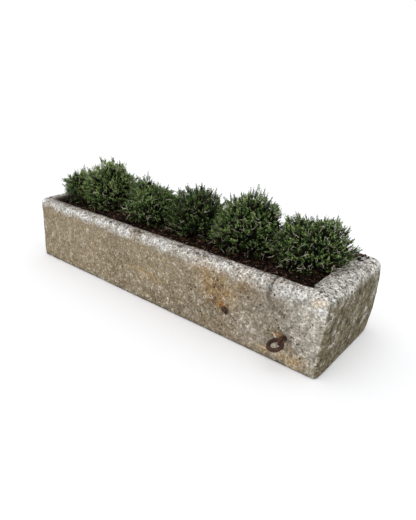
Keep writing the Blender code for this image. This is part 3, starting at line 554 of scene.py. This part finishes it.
def bar_loop(radius, bar_radius, place, worn_at=0.0, worn=0.0):
    """Points and faces of a loop of round bar, thinner at one bearing, uneven from the hammer."""
    points, faces = [], []
    for i in range(RING_TURNS):
        bearing = math.tau * i / RING_TURNS
        out = Vector((math.cos(bearing), math.sin(bearing), 0))
        thin = 1 - worn * max(0, math.cos(bearing - worn_at)) ** 6
        for k in range(BAR_TURNS):
            angle = math.tau * k / BAR_TURNS
            spoke = out * math.cos(angle) + Vector((0, 0, math.sin(angle)))
            skin = out * radius + spoke * bar_radius
            hammered = noise.noise(skin / HAMMER_PITCH + Vector((radius * 90, 0, 0)))
            scale = noise.noise(skin / SCALE_PITCH)
            reach = bar_radius * thin + HAMMER_DEPTH * hammered + SCALE_DEPTH * scale - BAR_SUNK
            points.append(place @ (out * radius + spoke * reach))
            j, m = (i + 1) % RING_TURNS, (k + 1) % BAR_TURNS
            faces.append((i * BAR_TURNS + k, j * BAR_TURNS + k, j * BAR_TURNS + m, i * BAR_TURNS + m))
    return points, faces


def mesh_of(name, points, faces):
    """A mesh made of points and faces."""
    mesh = bpy.data.meshes.new(name)
    mesh.from_pydata([tuple(p) for p in points], [], faces)
    mesh.validate()
    return mesh


swing = frame["joints"][0]
hinge, hinge_axis = Vector(swing["pos_m"]), Vector(swing["axis"]).normalized()
ring_middle = sum(corners("tether_ring"), Vector()) / 2
ring_out = (ring_middle - hinge).normalized()
ring_axes = Matrix((hinge_axis, ring_out, hinge_axis.cross(ring_out))).transposed().to_4x4()
ring_place = Matrix.Translation(ring_middle) @ ring_axes
ring_loop = bar_loop(RING_RADIUS, RING_BAR, ring_place, -math.pi / 2, RING_WORN)
old_ring = added("old_ring", mesh_of("old_ring", *ring_loop), iron_finish("rusty_ring", 0.0), "ring")
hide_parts("tether_ring")

eye_low, eye_high = corners("ring_eye")
eye_middle = (eye_low + eye_high) / 2
eye_middle.y = eye_low.y + EYE_HOLE + 2 * EYE_BAR
eye_place = Matrix.Translation(eye_middle) @ Matrix.Rotation(math.pi / 2, 4, "Y")
eye_points, eye_faces = bar_loop(EYE_HOLE + EYE_BAR, EYE_BAR, eye_place)
shank_start = eye_middle.y + EYE_HOLE + EYE_BAR
for step in range(SHANK_STEPS):
    share = step / (SHANK_STEPS - 1)
    back = shank_start + (eye_high.y - shank_start) * share
    wide = SHANK_RADIUS * (SHANK_NECK + (1 - SHANK_NECK) * step_up(share, 0, 0.4))
    for k in range(BAR_TURNS):
        angle = math.tau * k / BAR_TURNS
        spoke = Vector((math.cos(angle), 0, math.sin(angle)))
        lump = SHANK_LUMP_DEPTH * noise.noise((spoke * wide + Vector((0, back, 0))) / SHANK_LUMP_PITCH)
        reach = wide + lump - SHANK_SUNK
        eye_points.append(Vector((eye_middle.x, back, eye_middle.z)) + spoke * reach)
        if step:
            last = len(eye_points) - 1
            before = last - 1 if k else last + BAR_TURNS - 1
            eye_faces.append((before - BAR_TURNS, last - BAR_TURNS, last, before))
eye_faces.append(tuple(range(len(eye_points) - BAR_TURNS, len(eye_points))))
eye_mesh = mesh_of("forged_eye", eye_points, eye_faces)
forged_eye = added("forged_eye", eye_mesh, iron_finish("rusty_eye", 0.05), "trough")
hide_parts("ring_eye")
# The stump's rust is dimmed to 0.3: painted shade in its recess.
frame["nodes"]["broken_eye_stub"].data.materials[0] = iron_finish("rusty_stump_in_painted_shade", -0.2, 0.3)


# Lead: poured hot round each shank and hammered tight. It is dull, and stained by the rust that runs
# over it.
LEAD_DULL, LEAD_RUSTED = (0.035, 0.024, 0.020), (0.16, 0.062, 0.024)


def mottled(name, dark, light, span, cloud, depth, stretch=None, **sockets):
    """A material that turns from dark to light over a span of soft noise, which also raises it."""
    finish = Finish(name)
    patches = finish.cloud(*cloud, finish.moved(stretch) if stretch else None)
    finish.bumps((patches, depth))
    return finish.use(Base_Color=finish.mix(patches.rise(*span), dark, light), **sockets)


old_lead = mottled("old_lead", LEAD_DULL, LEAD_RUSTED, (0.40, 0.70), (0.006, 3, 0.55), 0.002, Roughness=0.8,
                   Metallic=0.2)
for name in ("eye_lead", "stub_lead"):
    frame["nodes"][name].data.materials[0] = old_lead


# What lies out of sight in the hollow: potsherds over the drain holes, gravel, a sheet of fleece, compost,
# and the balls of roots as they came out of their pots. They keep their CAD shapes.
def buried_finish(name, dark, light, lump, roughness, depth):
    """A loose or rough material of two colours, in lumps of a size."""
    finish = Finish(name)
    lumps = finish.cells(lump)
    grain = finish.cloud(lump / 3, 3, 0.65)
    base = finish.mix((lumps * 0.8 + grain * 0.6).rise(0.35, 0.95), light, dark)
    finish.bumps((1 - lumps, depth), (grain, depth / 3))
    return finish.use(Base_Color=base, Roughness=roughness)


# CAD nodes, then the finish's name, dark and light colours, size of lumps, roughness and depth.
SHRUBS = range(1, 7)
BURIED = (
    (("drain_crock_1", "drain_crock_2"), "terracotta", (0.36, 0.13, 0.07), (0.50, 0.22, 0.12), 0.012, 0.85,
     0.0005),
    (("drainage_gravel",), "gravel", (0.09, 0.08, 0.07), (0.42, 0.38, 0.32), 0.014, 0.85, 0.008),
    (("filter_fleece",), "fleece", (0.45, 0.45, 0.43), (0.62, 0.62, 0.60), 0.004, 0.95, 0.0006),
    (("compost",), "compost", (0.014, 0.009, 0.006), (0.060, 0.036, 0.022), 0.009, 0.95, 0.004),
    ([f"root_ball_{number}" for number in SHRUBS], "roots", (0.045, 0.028, 0.018), (0.24, 0.17, 0.10),
     0.006, 0.95, 0.004))
for nodes, *look in BURIED:
    loose = buried_finish(*look)
    for name in nodes:
        frame["nodes"][name].data.materials[0] = loose


# Bark mulch: shredded bark over the compost, nearly black where it is wet and in patches of painted shade
# between the chips, with redder and paler chips on top. It is heaped against the back right corner, where
# some has spilled on the rim.
MULCH_GRID = 0.007
CHIPS = 11500
CHIP_LONG, CHIP_WIDE, CHIP_THICK = (0.008, 0.026), (0.005, 0.011), (0.001, 0.003)
CHIP_BEND, CHIP_TAPER, CHIP_TILT, CHIP_ROLL, CHIP_LIFT = 0.2, 0.35, 0.42, 0.5, (-0.001, 0.003)
SPILLED_CHIPS, SPILLED_TILT, SPILLED_LIFT, SPILLED_TONE = 70, 0.15, 0.0015, 0.90
SPILL_ALONG, SPILL_ACROSS = (-0.030, 0.025), (-0.035, 0.035)
RIM_HEIGHT, LEVEL_ENOUGH = 0.39, 0.6
BED_LUMP_PITCH, BED_LUMP_HEIGHT, BED_SUNK, BED_FACING = 0.014, 0.0025, 0.001, 0.4
BED_DARK, BED_BROWN = (0.006, 0.004, 0.003), (0.034, 0.018, 0.011)
CHIP_BLACK, CHIP_BROWN = (0.002, 0.001, 0.001), (0.026, 0.014, 0.009)
CHIP_RED, CHIP_PALE = (0.205, 0.100, 0.058), (0.30, 0.22, 0.14)

dice = random.Random(41)
mulch_mesh = remeshed("bark_mulch", MULCH_GRID, 2)
mulch_tree = mesh_tree(frame["nodes"]["bark_mulch"])
stone_tree = mesh_tree(stone_block)
mulch_low, mulch_high = corners("bark_mulch")
mulch_normals = [v.normal.copy() for v in mulch_mesh.vertices]
for vertex, normal in zip(mulch_mesh.vertices, mulch_normals):
    if normal.z > BED_FACING:
        vertex.co.z += BED_LUMP_HEIGHT * noise.noise(vertex.co / BED_LUMP_PITCH) - BED_SUNK

bed_finish = mottled("mulch_bed", BED_DARK, BED_BROWN, (0.35, 0.7), (0.006, 3, 0.7), 0.002,
                     Roughness=0.88, Specular_IOR_Level=0.12)
mulch_bed = added("mulch_bed", mulch_mesh, bed_finish, "trough")
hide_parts("bark_mulch")


def chip_finish():
    """Wet bark, darker or redder by what each chip carries, and nearly black in patches of painted shade.
    """
    bark = Finish("bark_chips")
    grain = bark.cloud(0.006, 3, 0.7)
    tone = bark.painted("tone")
    base = bark.mix(tone.rise(0.30, 0.55), CHIP_BLACK, CHIP_BROWN)
    base = bark.mix(tone.rise(0.60, 0.92), base, CHIP_RED)
    base = bark.mix(tone.rise(0.94, 0.98), base, CHIP_PALE)
    # Painted shade between the chips: patches about a centimetre across dimmed nearly to black.
    painted_gap_shade = bark.cloud(0.014, 3, 0.85).rise(0.44, 0.56)
    base = bark.dimmed(base, (0.4 + grain * 1.2) * (0.04 + painted_gap_shade))
    bark.bumps((grain, 0.002))
    return bark.use(Base_Color=base, Roughness=0.88, Specular_IOR_Level=0.12)


class Scraps:
    """Many small shapes gathered into one mesh, each with its own tone and its own cell of the map."""

    def __init__(self):
        self.points, self.faces, self.tones, self.owners = [], [], [], []
        self.count = 0

    def add(self, points, faces, tone):
        """One more shape, its faces numbered from its own first point."""
        start = len(self.points)
        self.points += points
        self.faces += [tuple(start + i for i in face) for face in faces]
        self.tones += [tone] * len(faces)
        self.owners += [self.count] * len(faces)
        self.count += 1

    def mesh(self, name):
        """The finished mesh. Each shape has one cell of a square grid in its colour map."""
        mesh = bpy.data.meshes.new(name)
        mesh.from_pydata(self.points, [], self.faces)
        tone = mesh.attributes.new("tone", "FLOAT", "FACE")
        tone.data.foreach_set("value", self.tones)
        row = math.ceil(math.sqrt(self.count))
        sides = np.array([len(face) for face in self.faces])
        owners = np.repeat(np.array(self.owners), sides)
        order = np.concatenate([np.arange(n) for n in sides])
        turn = order * math.tau / np.repeat(sides, sides) + 0.8
        spots = np.stack([owners % row + 0.5 + 0.4 * np.cos(turn),
                          owners // row + 0.5 + 0.4 * np.sin(turn)], 1)
        layer = mesh.uv_layers.new(name="OFBake")
        layer.data.foreach_set("uv", (spots / row).ravel())
        return mesh


BOX_FACES = [(0, 1, 3, 2), (4, 6, 7, 5), (0, 4, 5, 1), (2, 3, 7, 6), (0, 2, 6, 4), (1, 5, 7, 3)]


def chip_points(place):
    """Corners of one splinter of bark, tapered and bent, laid at a place."""
    long, wide, thick = (dice.uniform(*span) / 2 for span in (CHIP_LONG, CHIP_WIDE, CHIP_THICK))
    bend = dice.uniform(-CHIP_BEND, CHIP_BEND)
    points = []
    for a in (-1, 1):
        taper = dice.uniform(CHIP_TAPER, 1)
        for b in (-1, 1):
            for c in (-1, 1):
                local = Vector((a * long, b * wide * taper + a * bend * long, c * thick))
                points.append(tuple(place @ local))
    return points


chips = Scraps()
while chips.count < CHIPS:
    start = Vector((dice.uniform(mulch_low.x, mulch_high.x), dice.uniform(mulch_low.y, mulch_high.y), 1))
    ground = mulch_tree.ray_cast(start, Vector((0, 0, -1)))[0]
    if ground is None or ground.z < mulch_low.z + 0.01:
        continue
    lie = Matrix.Rotation(dice.uniform(0, math.tau), 4, "Z")
    lie = lie @ Matrix.Rotation(dice.gauss(0, CHIP_TILT), 4, "Y")
    lie = Matrix.Translation(ground + Vector((0, 0, dice.uniform(*CHIP_LIFT)))) @ lie
    lie = lie @ Matrix.Rotation(dice.gauss(0, CHIP_ROLL), 4, "X")
    chips.add(chip_points(lie), BOX_FACES, dice.random())
for _ in range(SPILLED_CHIPS):
    x = mulch_high.x + dice.gauss(*SPILL_ALONG)
    y = mulch_high.y + dice.gauss(*SPILL_ACROSS)
    ground, normal = stone_tree.ray_cast(Vector((x, y, 1)), Vector((0, 0, -1)))[:2]
    if ground is None or ground.z < RIM_HEIGHT or normal.z < LEVEL_ENOUGH:
        continue
    lie = Matrix.Translation(ground + Vector((0, 0, SPILLED_LIFT)))
    lie = lie @ Matrix.Rotation(dice.uniform(0, math.tau), 4, "Z")
    lie = lie @ Matrix.Rotation(dice.gauss(0, SPILLED_TILT), 4, "Y")
    chips.add(chip_points(lie), BOX_FACES, dice.random() * SPILLED_TONE)
bark_chips = added("bark_chips", chips.mesh("bark_chips"), chip_finish(), "trough")
bark_chips.data.shade_flat()


# The shrubs: small-leaved evergreens clipped loosely round. Each has woody stems that rise from its stock,
# and hundreds of upright sprigs set with pairs of oval leaves, dark and glossy, lighter towards the tips.
# Each shrub's own tone; the fourth's is lowered as painted shade, where it stands between its neighbours.
SHRUB_TONES_AND_SHADE = dict(zip(SHRUBS, (0.02, 0.18, -0.02, -0.26, -0.02, -0.04)))
TOP_LIMIT = cad_box[1][2] + 0.012
BARE_FOOT, BARE_SHARE, STEM_CLEAR = 0.060, 0.80, 0.003
OPENING_PITCH, OPENING_LEVEL = 0.018, -0.12

SPRIG_SPACING, SPRIG_THICK, SPRIG_TONE, SPRIG_SHORTEST = 0.0112, 0.0009, 0.37, 0.02
SPRIG_DEEP, SPRIG_PROUD = (0.022, 0.036), (-0.008, 0.010)
SPRIG_BENDS_UP, SPRIG_BENDS_ASIDE = Vector((0, 0, 0.45)), 0.22
LONG_SHOOT, LONG_SHOOT_SHARE = (0.008, 0.024), 0.12
CLUMPS = ((0.045, 0.5), (0.016, 0.7))
TUFT_STANDS_OUT, TUFT_SPRIGS, TUFT_TONE = 0.012, 2, 0.40
TUFT_LONG, TUFT_PROUD, TUFT_ASIDE = (0.040, 0.056), 0.020, 0.007

LEAF_LONG, LEAF_WIDE, LEAF_FOLD = (0.0060, 0.0102), (0.0040, 0.0063), 0.45
LEAF_PAIR_GAP, LEAFY_SHARE, LEAF_PAIR_TURN = 0.0052, 0.78, 1.57
YOUNG_LEAF_SHARE, YOUNG_LEAF_TONE = 0.24, 0.75
LEAF_SHADE, LEAF_GREEN, LEAF_YOUNG = (0.003, 0.009, 0.002), (0.042, 0.118, 0.022), (0.205, 0.370, 0.072)
LEAF_FRESH_HIGHLIGHT, LEAF_FADED = (0.680, 0.780, 0.360), (0.17, 0.18, 0.045)

DEAD_TWIGS = dict(zip(SHRUBS, (90, 130, 110, 150, 240, 330)))
DEAD_TWIG_RADIUS, DEAD_TWIG_STEP = (0.0007, 0.0013), (0.006, 0.012)
BARE_STEMS, BARE_STEM_RADIUS = 16, (0.0016, 0.003)
TWIG_DARK, TWIG_GREY, TWIG_BLEACHED = (0.030, 0.018, 0.010), (0.110, 0.078, 0.046), (0.96, 0.88, 0.73)
BARK_DARK, BARK_PALE = (0.028, 0.018, 0.011), (0.150, 0.108, 0.066)

CORE_GRID, CORE_DEPTH, CORE_SMALLEST = 0.012, 0.034, 0.4
CORE_DARK, CORE_GREEN = (0.002, 0.002, 0.001), (0.010, 0.013, 0.006)

# The slit of daylight that parts the tops of the fifth and the sixth shrub, square to the camera's sight.
GAP_MIDDLE, GAP_ACROSS = Vector((0.631, 0.019, 0)), Vector((0.8805, 0.4740, 0))
GAP_HALF, GAP_FOOT = 0.010, 0.53


def crown_surface(node):
    """Corners, normals and areas of a crown's faces, as triangles."""
    mesh = frame["nodes"][node].data
    mesh.calc_loop_triangles()
    points = np.array([v.co for v in mesh.vertices])
    triangles = points[np.array([t.vertices for t in mesh.loop_triangles])]
    normals = np.cross(triangles[:, 1] - triangles[:, 0], triangles[:, 2] - triangles[:, 0])
    areas = np.linalg.norm(normals, axis=1)
    return triangles, normals / np.maximum(areas, 1e-12)[:, None], areas / 2


def tuft_tips(node, heart):
    """The points of a crown's tufts: corners that lie further from its heart than those around them."""
    mesh = frame["nodes"][node].data
    keys = [tuple(round(c, 4) for c in v.co) for v in mesh.vertices]
    near = {key: set() for key in keys}
    for edge in mesh.edges:
        a, b = (keys[i] for i in edge.vertices)
        near[a].add(b)
        near[b].add(a)
    for key, others in sorted(near.items()):
        others.discard(key)
        around = [(Vector(other) - heart).length for other in others]
        if around and (Vector(key) - heart).length > sum(around) / len(around) + TUFT_STANDS_OUT:
            yield Vector(key)


def across(direction):
    """A unit vector square to a direction, at a random bearing round it."""
    side = direction.orthogonal().normalized()
    return Matrix.Rotation(dice.uniform(0, math.tau), 3, direction) @ side


def leaf(leaves, foot, direction, face_up, tone, size=1.0, plain=False):
    """One oval leaf folded a little along its midrib, or a plainer one where others hide it."""
    long = dice.uniform(*LEAF_LONG) * size
    wide = dice.uniform(*LEAF_WIDE) * size / 2
    side = direction.cross(face_up)
    if side.length < 1e-6:
        return
    side.normalize()
    lift = side.cross(direction).normalized() * wide * LEAF_FOLD
    tip = foot + direction * long
    low, high = foot + direction * long * 0.3, foot + direction * long * 0.72
    if plain:
        half = foot + direction * long * 0.5 + lift
        points, faces = [foot, half + side * wide, tip, half - side * wide], [(0, 1, 2), (0, 2, 3)]
    else:
        points = [foot, low + side * wide + lift, high + side * wide * 0.85 + lift, tip,
                  high - side * wide * 0.85 + lift, low - side * wide + lift]
        faces = [(0, 1, 2, 3), (0, 3, 4, 5)]
    leaves.add([tuple(p) for p in points], faces, tone)


def twig(wood, points, radius, tone):
    """A thin three-sided twig through points, drawn out to a fine end."""
    skin, faces = [], []
    for i, point in enumerate(points):
        along = (points[min(i + 1, len(points) - 1)] - points[max(i - 1, 0)]).normalized()
        side = along.orthogonal().normalized()
        other = along.cross(side)
        thin = radius * (1 - 0.6 * i / (len(points) - 1))
        for k in range(3):
            angle = math.tau * k / 3
            skin.append(tuple(point + (side * math.cos(angle) + other * math.sin(angle)) * thin))
        if i:
            for k in range(3):
                a, b = 3 * (i - 1) + k, 3 * (i - 1) + (k + 1) % 3
                faces.append((a, b, b + 3, a + 3))
    wood.add(skin, faces, tone)


def grow_sprig(leaves, wood, root, direction, length, tone):
    """A sprig that bends up as it grows, with crossed pairs of leaves to its tip."""
    bent = (direction + SPRIG_BENDS_UP + across(direction) * SPRIG_BENDS_ASIDE).normalized()
    middle = root + direction * length * 0.5
    tip = middle + bent * length * 0.5
    twig(wood, [root, middle, tip], SPRIG_THICK, dice.uniform(0.0, 0.5))
    turn = across(direction)
    pairs = max(3, int(length * LEAFY_SHARE / LEAF_PAIR_GAP))
    for i in range(pairs):
        share = 1 - i * LEAF_PAIR_GAP / length
        at = root.lerp(middle, share * 2) if share < 0.5 else middle.lerp(tip, share * 2 - 1)
        along = direction.lerp(bent, share).normalized()
        turn = Matrix.Rotation(LEAF_PAIR_TURN + dice.gauss(0, 0.25), 3, along) @ turn
        out = (turn - along * turn.dot(along)).normalized()
        young = max(0, 1 - i / 3.5)
        for way in (out, -out):
            lean = dice.uniform(0.6, 1.3) - 0.35 * young
            blade = (along * math.cos(lean) + way * math.sin(lean) + across(along) * 0.25).normalized()
            fresh = YOUNG_LEAF_TONE if dice.random() < YOUNG_LEAF_SHARE else 0
            face_up = along + across(along) * 0.35
            # Pairs further from the tip are darker: painted shade, 0.12 of tone a pair.
            shade = tone + fresh + 0.3 * young - 0.12 * i + dice.gauss(0, 0.25)
            leaf(leaves, at, blade, face_up, shade, 1 - 0.3 * young, i > 2)
    leaf(leaves, tip, bent, across(bent), tone + 0.45, 0.75)


def clear_of_gap(number, point):
    """How far a point of the fifth or the sixth shrub keeps from the slit of daylight between them."""
    side = (point - GAP_MIDDLE).dot(GAP_ACROSS) + 0.006 * noise.noise(point / 0.03)
    return {5: -side, 6: side}.get(number, 1.0)


def leaf_finish():
    """Small glossy leaves by the tone each leaf carries: dark green when old, yellow-green when young,
    palest with painted highlight and near black with painted shade.
    """
    green = Finish("shrub_leaves")
    tone = green.painted("tone")
    patches = green.cloud(0.05, 2)
    vein = green.cloud(0.004, 2)
    base = green.mix(tone.rise(-0.15, 0.55), LEAF_SHADE, LEAF_GREEN)
    base = green.mix(tone.rise(0.50, 0.95), base, LEAF_YOUNG)
    # The palest leaves: young growth brightened further as painted highlight.
    base = green.mix(tone.rise(0.90, 1.25), base, LEAF_FRESH_HIGHLIGHT)
    base = green.mix((patches - 0.40).larger(0) * 0.9, base, green.mix(0.5, base, LEAF_FADED))
    green.bumps((vein, 0.0008))
    return green.use(Base_Color=base, Roughness=0.45, Specular_IOR_Level=0.28)


def twig_finish():
    """Thin grey-brown twigs, and dead ones bleached cream."""
    wood = Finish("shrub_twigs")
    tone = wood.painted("tone")
    grain = wood.cloud(0.004, 2)
    base = wood.mix(tone.rise(0.0, 0.6), TWIG_DARK, TWIG_GREY)
    base = wood.mix(tone.rise(0.75, 0.90), base, TWIG_BLEACHED)
    base = wood.dimmed(base, 0.7 + grain * 0.6)
    return wood.use(Base_Color=base, Roughness=0.85)


leaf_green, twig_brown = leaf_finish(), twig_finish()
stock_bark = mottled("shrub_bark", BARK_DARK, BARK_PALE, (0.35, 0.65), (0.004, 4, 0.65), 0.002, (1, 1, 5),
                     Roughness=0.88)
inner_shade = mottled("shrub_shade", CORE_DARK, CORE_GREEN, (0.4, 0.7), (0.012, 3, 0.7), 0.01,
                      Roughness=0.9, Specular_IOR_Level=0.1)

for number in SHRUBS:
    dice.seed(700 + number)
    node = f"shrub_crown_{number}"
    triangles, normals, areas = crown_surface(node)
    crown_low, crown_high = corners(node)
    heart = (crown_low + crown_high) / 2
    leaves, wood = Scraps(), Scraps()
    sprigs = int(areas.sum() / SPRIG_SPACING ** 2)
    stock = frame["nodes"][f"shrub_stems_{number}"]
    stems = mesh_tree(stock)
    outside = [stems.find_nearest(Vector(triangle.mean(0)))[3] > STEM_CLEAR for triangle in triangles]
    areas = areas * np.array(outside)

    # Sprigs over the whole crown, but few round its bare foot and none in the gaps between clumps.
    for index in dice.choices(range(len(areas)), weights=areas, k=sprigs):
        a, b = dice.random(), dice.random()
        if a + b > 1:
            a, b = 1 - a, 1 - b
        corner, second, third = (Vector(point) for point in triangles[index])
        point = corner + (second - corner) * a + (third - corner) * b
        normal = Vector(normals[index])
        height = (point.z - crown_low.z) / (crown_high.z - crown_low.z)
        if point.z < crown_low.z + BARE_FOOT and dice.random() < BARE_SHARE:
            continue
        if noise.noise(point / OPENING_PITCH) < OPENING_LEVEL:
            continue
        out = (point - heart).normalized() + normal * 0.4 + Vector((0, 0, 0.3 + 0.4 * height))
        direction = (out + across(normal) * dice.uniform(0, 0.9)).normalized()
        proud = dice.uniform(*SPRIG_PROUD)
        proud += dice.uniform(*LONG_SHOOT) if dice.random() < LONG_SHOOT_SHARE else 0
        deep = dice.uniform(*SPRIG_DEEP)
        root = point - direction * deep
        length = deep + proud
        if point.z + proud > TOP_LIMIT:
            length = max(SPRIG_SHORTEST, length - (point.z + proud - TOP_LIMIT))
        tip = root + direction * length
        if tip.z > GAP_FOOT and min(clear_of_gap(number, point), clear_of_gap(number, tip)) < GAP_HALF:
            continue
        clump = sum(noise.noise(point / pitch) * share for pitch, share in CLUMPS) + SHRUB_TONES_AND_SHADE[number]
        tone = SPRIG_TONE + clump + 0.20 * (height - 0.5) + dice.gauss(0, 0.08)
        grow_sprig(leaves, wood, root, direction, length, tone)

    # Longer sprigs on the tips of the CAD crown's tufts.
    for tip in tuft_tips(node, heart):
        in_gap = tip.z > GAP_FOOT and clear_of_gap(number, tip) < 1.5 * GAP_HALF
        if tip.z < crown_low.z + BARE_FOOT or in_gap:
            continue
        out = (tip - heart).normalized() + Vector((0, 0, 0.45))
        for _ in range(TUFT_SPRIGS):
            direction = (out + across(out) * dice.uniform(0, 0.35)).normalized()
            top = tip + direction * dice.uniform(0, TUFT_PROUD)
            top += across(direction) * dice.uniform(0, TUFT_ASIDE)
            top.z = min(top.z, TOP_LIMIT)
            length = dice.uniform(*TUFT_LONG)
            tone = TUFT_TONE + SHRUB_TONES_AND_SHADE[number] + dice.gauss(0, 0.12)
            grow_sprig(leaves, wood, top - direction * length, direction, length, tone)

    # Dead twigs, more of them low down, that curl away from the crown.
    low_weights = areas * (1.3 - (triangles[:, :, 2].mean(1) - crown_low.z) / (crown_high.z - crown_low.z))
    for index in dice.choices(range(len(areas)), weights=low_weights, k=DEAD_TWIGS[number]):
        point, normal = Vector(triangles[index].mean(0)), Vector(normals[index])
        if normal.z < -0.3:
            continue
        way = (normal + across(normal) * dice.uniform(0.2, 1.4)).normalized()
        curl = across(way)
        points = [point + normal * 0.002]
        for step in range(4):
            way = (way + curl * dice.uniform(-0.1, 0.8)).normalized()
            points.append(points[-1] + way * dice.uniform(*DEAD_TWIG_STEP))
        if max(p.z for p in points) < TOP_LIMIT:
            twig(wood, points, dice.uniform(*DEAD_TWIG_RADIUS), dice.uniform(0.80, 1.0))

    # Bare stems that lean out from the stock.
    root_low, root_high = corners(f"root_ball_{number}")
    foot = root_low.lerp(root_high, 0.5)
    for _ in range(BARE_STEMS):
        bearing = dice.uniform(0, math.tau)
        out = Vector((math.cos(bearing), math.sin(bearing), 0))
        start = Vector((foot.x, foot.y, mulch_low.z + 0.02)) + out * dice.uniform(0.008, 0.03)
        end = start + out * dice.uniform(0.05, 0.12) + Vector((0, 0, dice.uniform(0.08, 0.17)))
        bow = start.lerp(end, 0.5) + out * dice.uniform(-0.012, 0.004)
        twig(wood, [start, bow, end], dice.uniform(*BARE_STEM_RADIUS), dice.uniform(0.3, 0.75))

    foliage = added(f"foliage_{number}", leaves.mesh(f"foliage_{number}"), leaf_green, "trough")
    foliage.data.shade_flat()
    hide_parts(node)
    added(f"twigs_{number}", wood.mesh(f"twigs_{number}"), twig_brown, "trough")
    stock.data.materials[0] = stock_bark

    # The crown's dark inside, a sheet of painted shade, which stops the sight through it.
    core = remeshed(node, CORE_GRID, 4)
    for vertex in core.vertices:
        away = vertex.co - heart
        depth = CORE_DEPTH * (1.2 + 0.6 * noise.noise(vertex.co / 0.03))
        vertex.co = heart + away * max(CORE_SMALLEST, 1 - depth / away.length)
        vertex.co.z = max(vertex.co.z, crown_low.z + BARE_FOOT)
        short = max(0, 1.8 * GAP_HALF - clear_of_gap(number, vertex.co))
        short *= step_up(vertex.co.z, GAP_FOOT - 0.03, GAP_FOOT)
        vertex.co += GAP_ACROSS * (short if number == 6 else -short)
    added(f"shrub_inside_{number}", core, inner_shade, "trough")


# The studio: a white floor that runs out of sight, a bright even sky and one wide soft lamp high in front.
# The floor keeps the trough's soft shadow, and shows as white where nothing shades it.
SKY_LIGHT = 0.88
LAMP_LIGHT, LAMP_WIDTH, LAMP_AIM = 0.50, math.radians(60), Vector((-0.06, 0.35, -1.0))
FLOOR_REACH, FLOOR_WHITE, FLOOR_GLOW = 14, (0.925, 0.932, 0.950), 0.13

floor_corners = [(FLOOR_REACH * a, FLOOR_REACH * b, 0) for a, b in ((-1, -1), (1, -1), (1, 1), (-1, 1))]
floor_mesh = mesh_of("floor", floor_corners, [(0, 1, 2, 3)])
floor = placed("floor", floor_mesh)
white = Finish("studio_white")
white.use(Base_Color=FLOOR_WHITE, Roughness=0.9, Specular_IOR_Level=0.0)
seen = white.node("ShaderNodeLightPath", output="Is Camera Ray")
glow = white.node("ShaderNodeEmission", inputs={"Color": (1, 1, 1), "Strength": FLOOR_GLOW})
plain = Wire(white.tree, white.shader.outputs[0])
both = white.node("ShaderNodeAddShader", inputs={0: plain, 1: glow})
shown = white.node("ShaderNodeMixShader", inputs={0: seen, 1: plain, 2: both})
join(white.tree, white.tree.nodes["Material Output"].inputs["Surface"], shown)
floor_mesh.materials.append(white.material)

world = bpy.data.worlds.new("studio_sky")
scene.world = world
world.use_nodes = True
sky = world.node_tree
sky.nodes.clear()
rays = sky.nodes.new("ShaderNodeLightPath").outputs
seen_straight = Wire(sky, rays["Is Camera Ray"]).larger(
    Wire(sky, rays["Is Glossy Ray"]), Wire(sky, rays["Is Transmission Ray"]))
even, bright = (new_node(sky, "ShaderNodeBackground", inputs={"Color": (1, 1, 1), "Strength": strength})
                for strength in (SKY_LIGHT, 1.0))
chosen_sky = new_node(sky, "ShaderNodeMixShader", inputs={0: seen_straight, 1: even, 2: bright})
join(sky, sky.nodes.new("ShaderNodeOutputWorld").inputs["Surface"], chosen_sky)

lamp = placed("soft_lamp", bpy.data.lights.new("soft_lamp", "SUN"))
lamp.data.energy = LAMP_LIGHT
lamp.data.angle = LAMP_WIDTH
lamp.rotation_euler = LAMP_AIM.to_track_quat("-Z", "Y").to_euler()
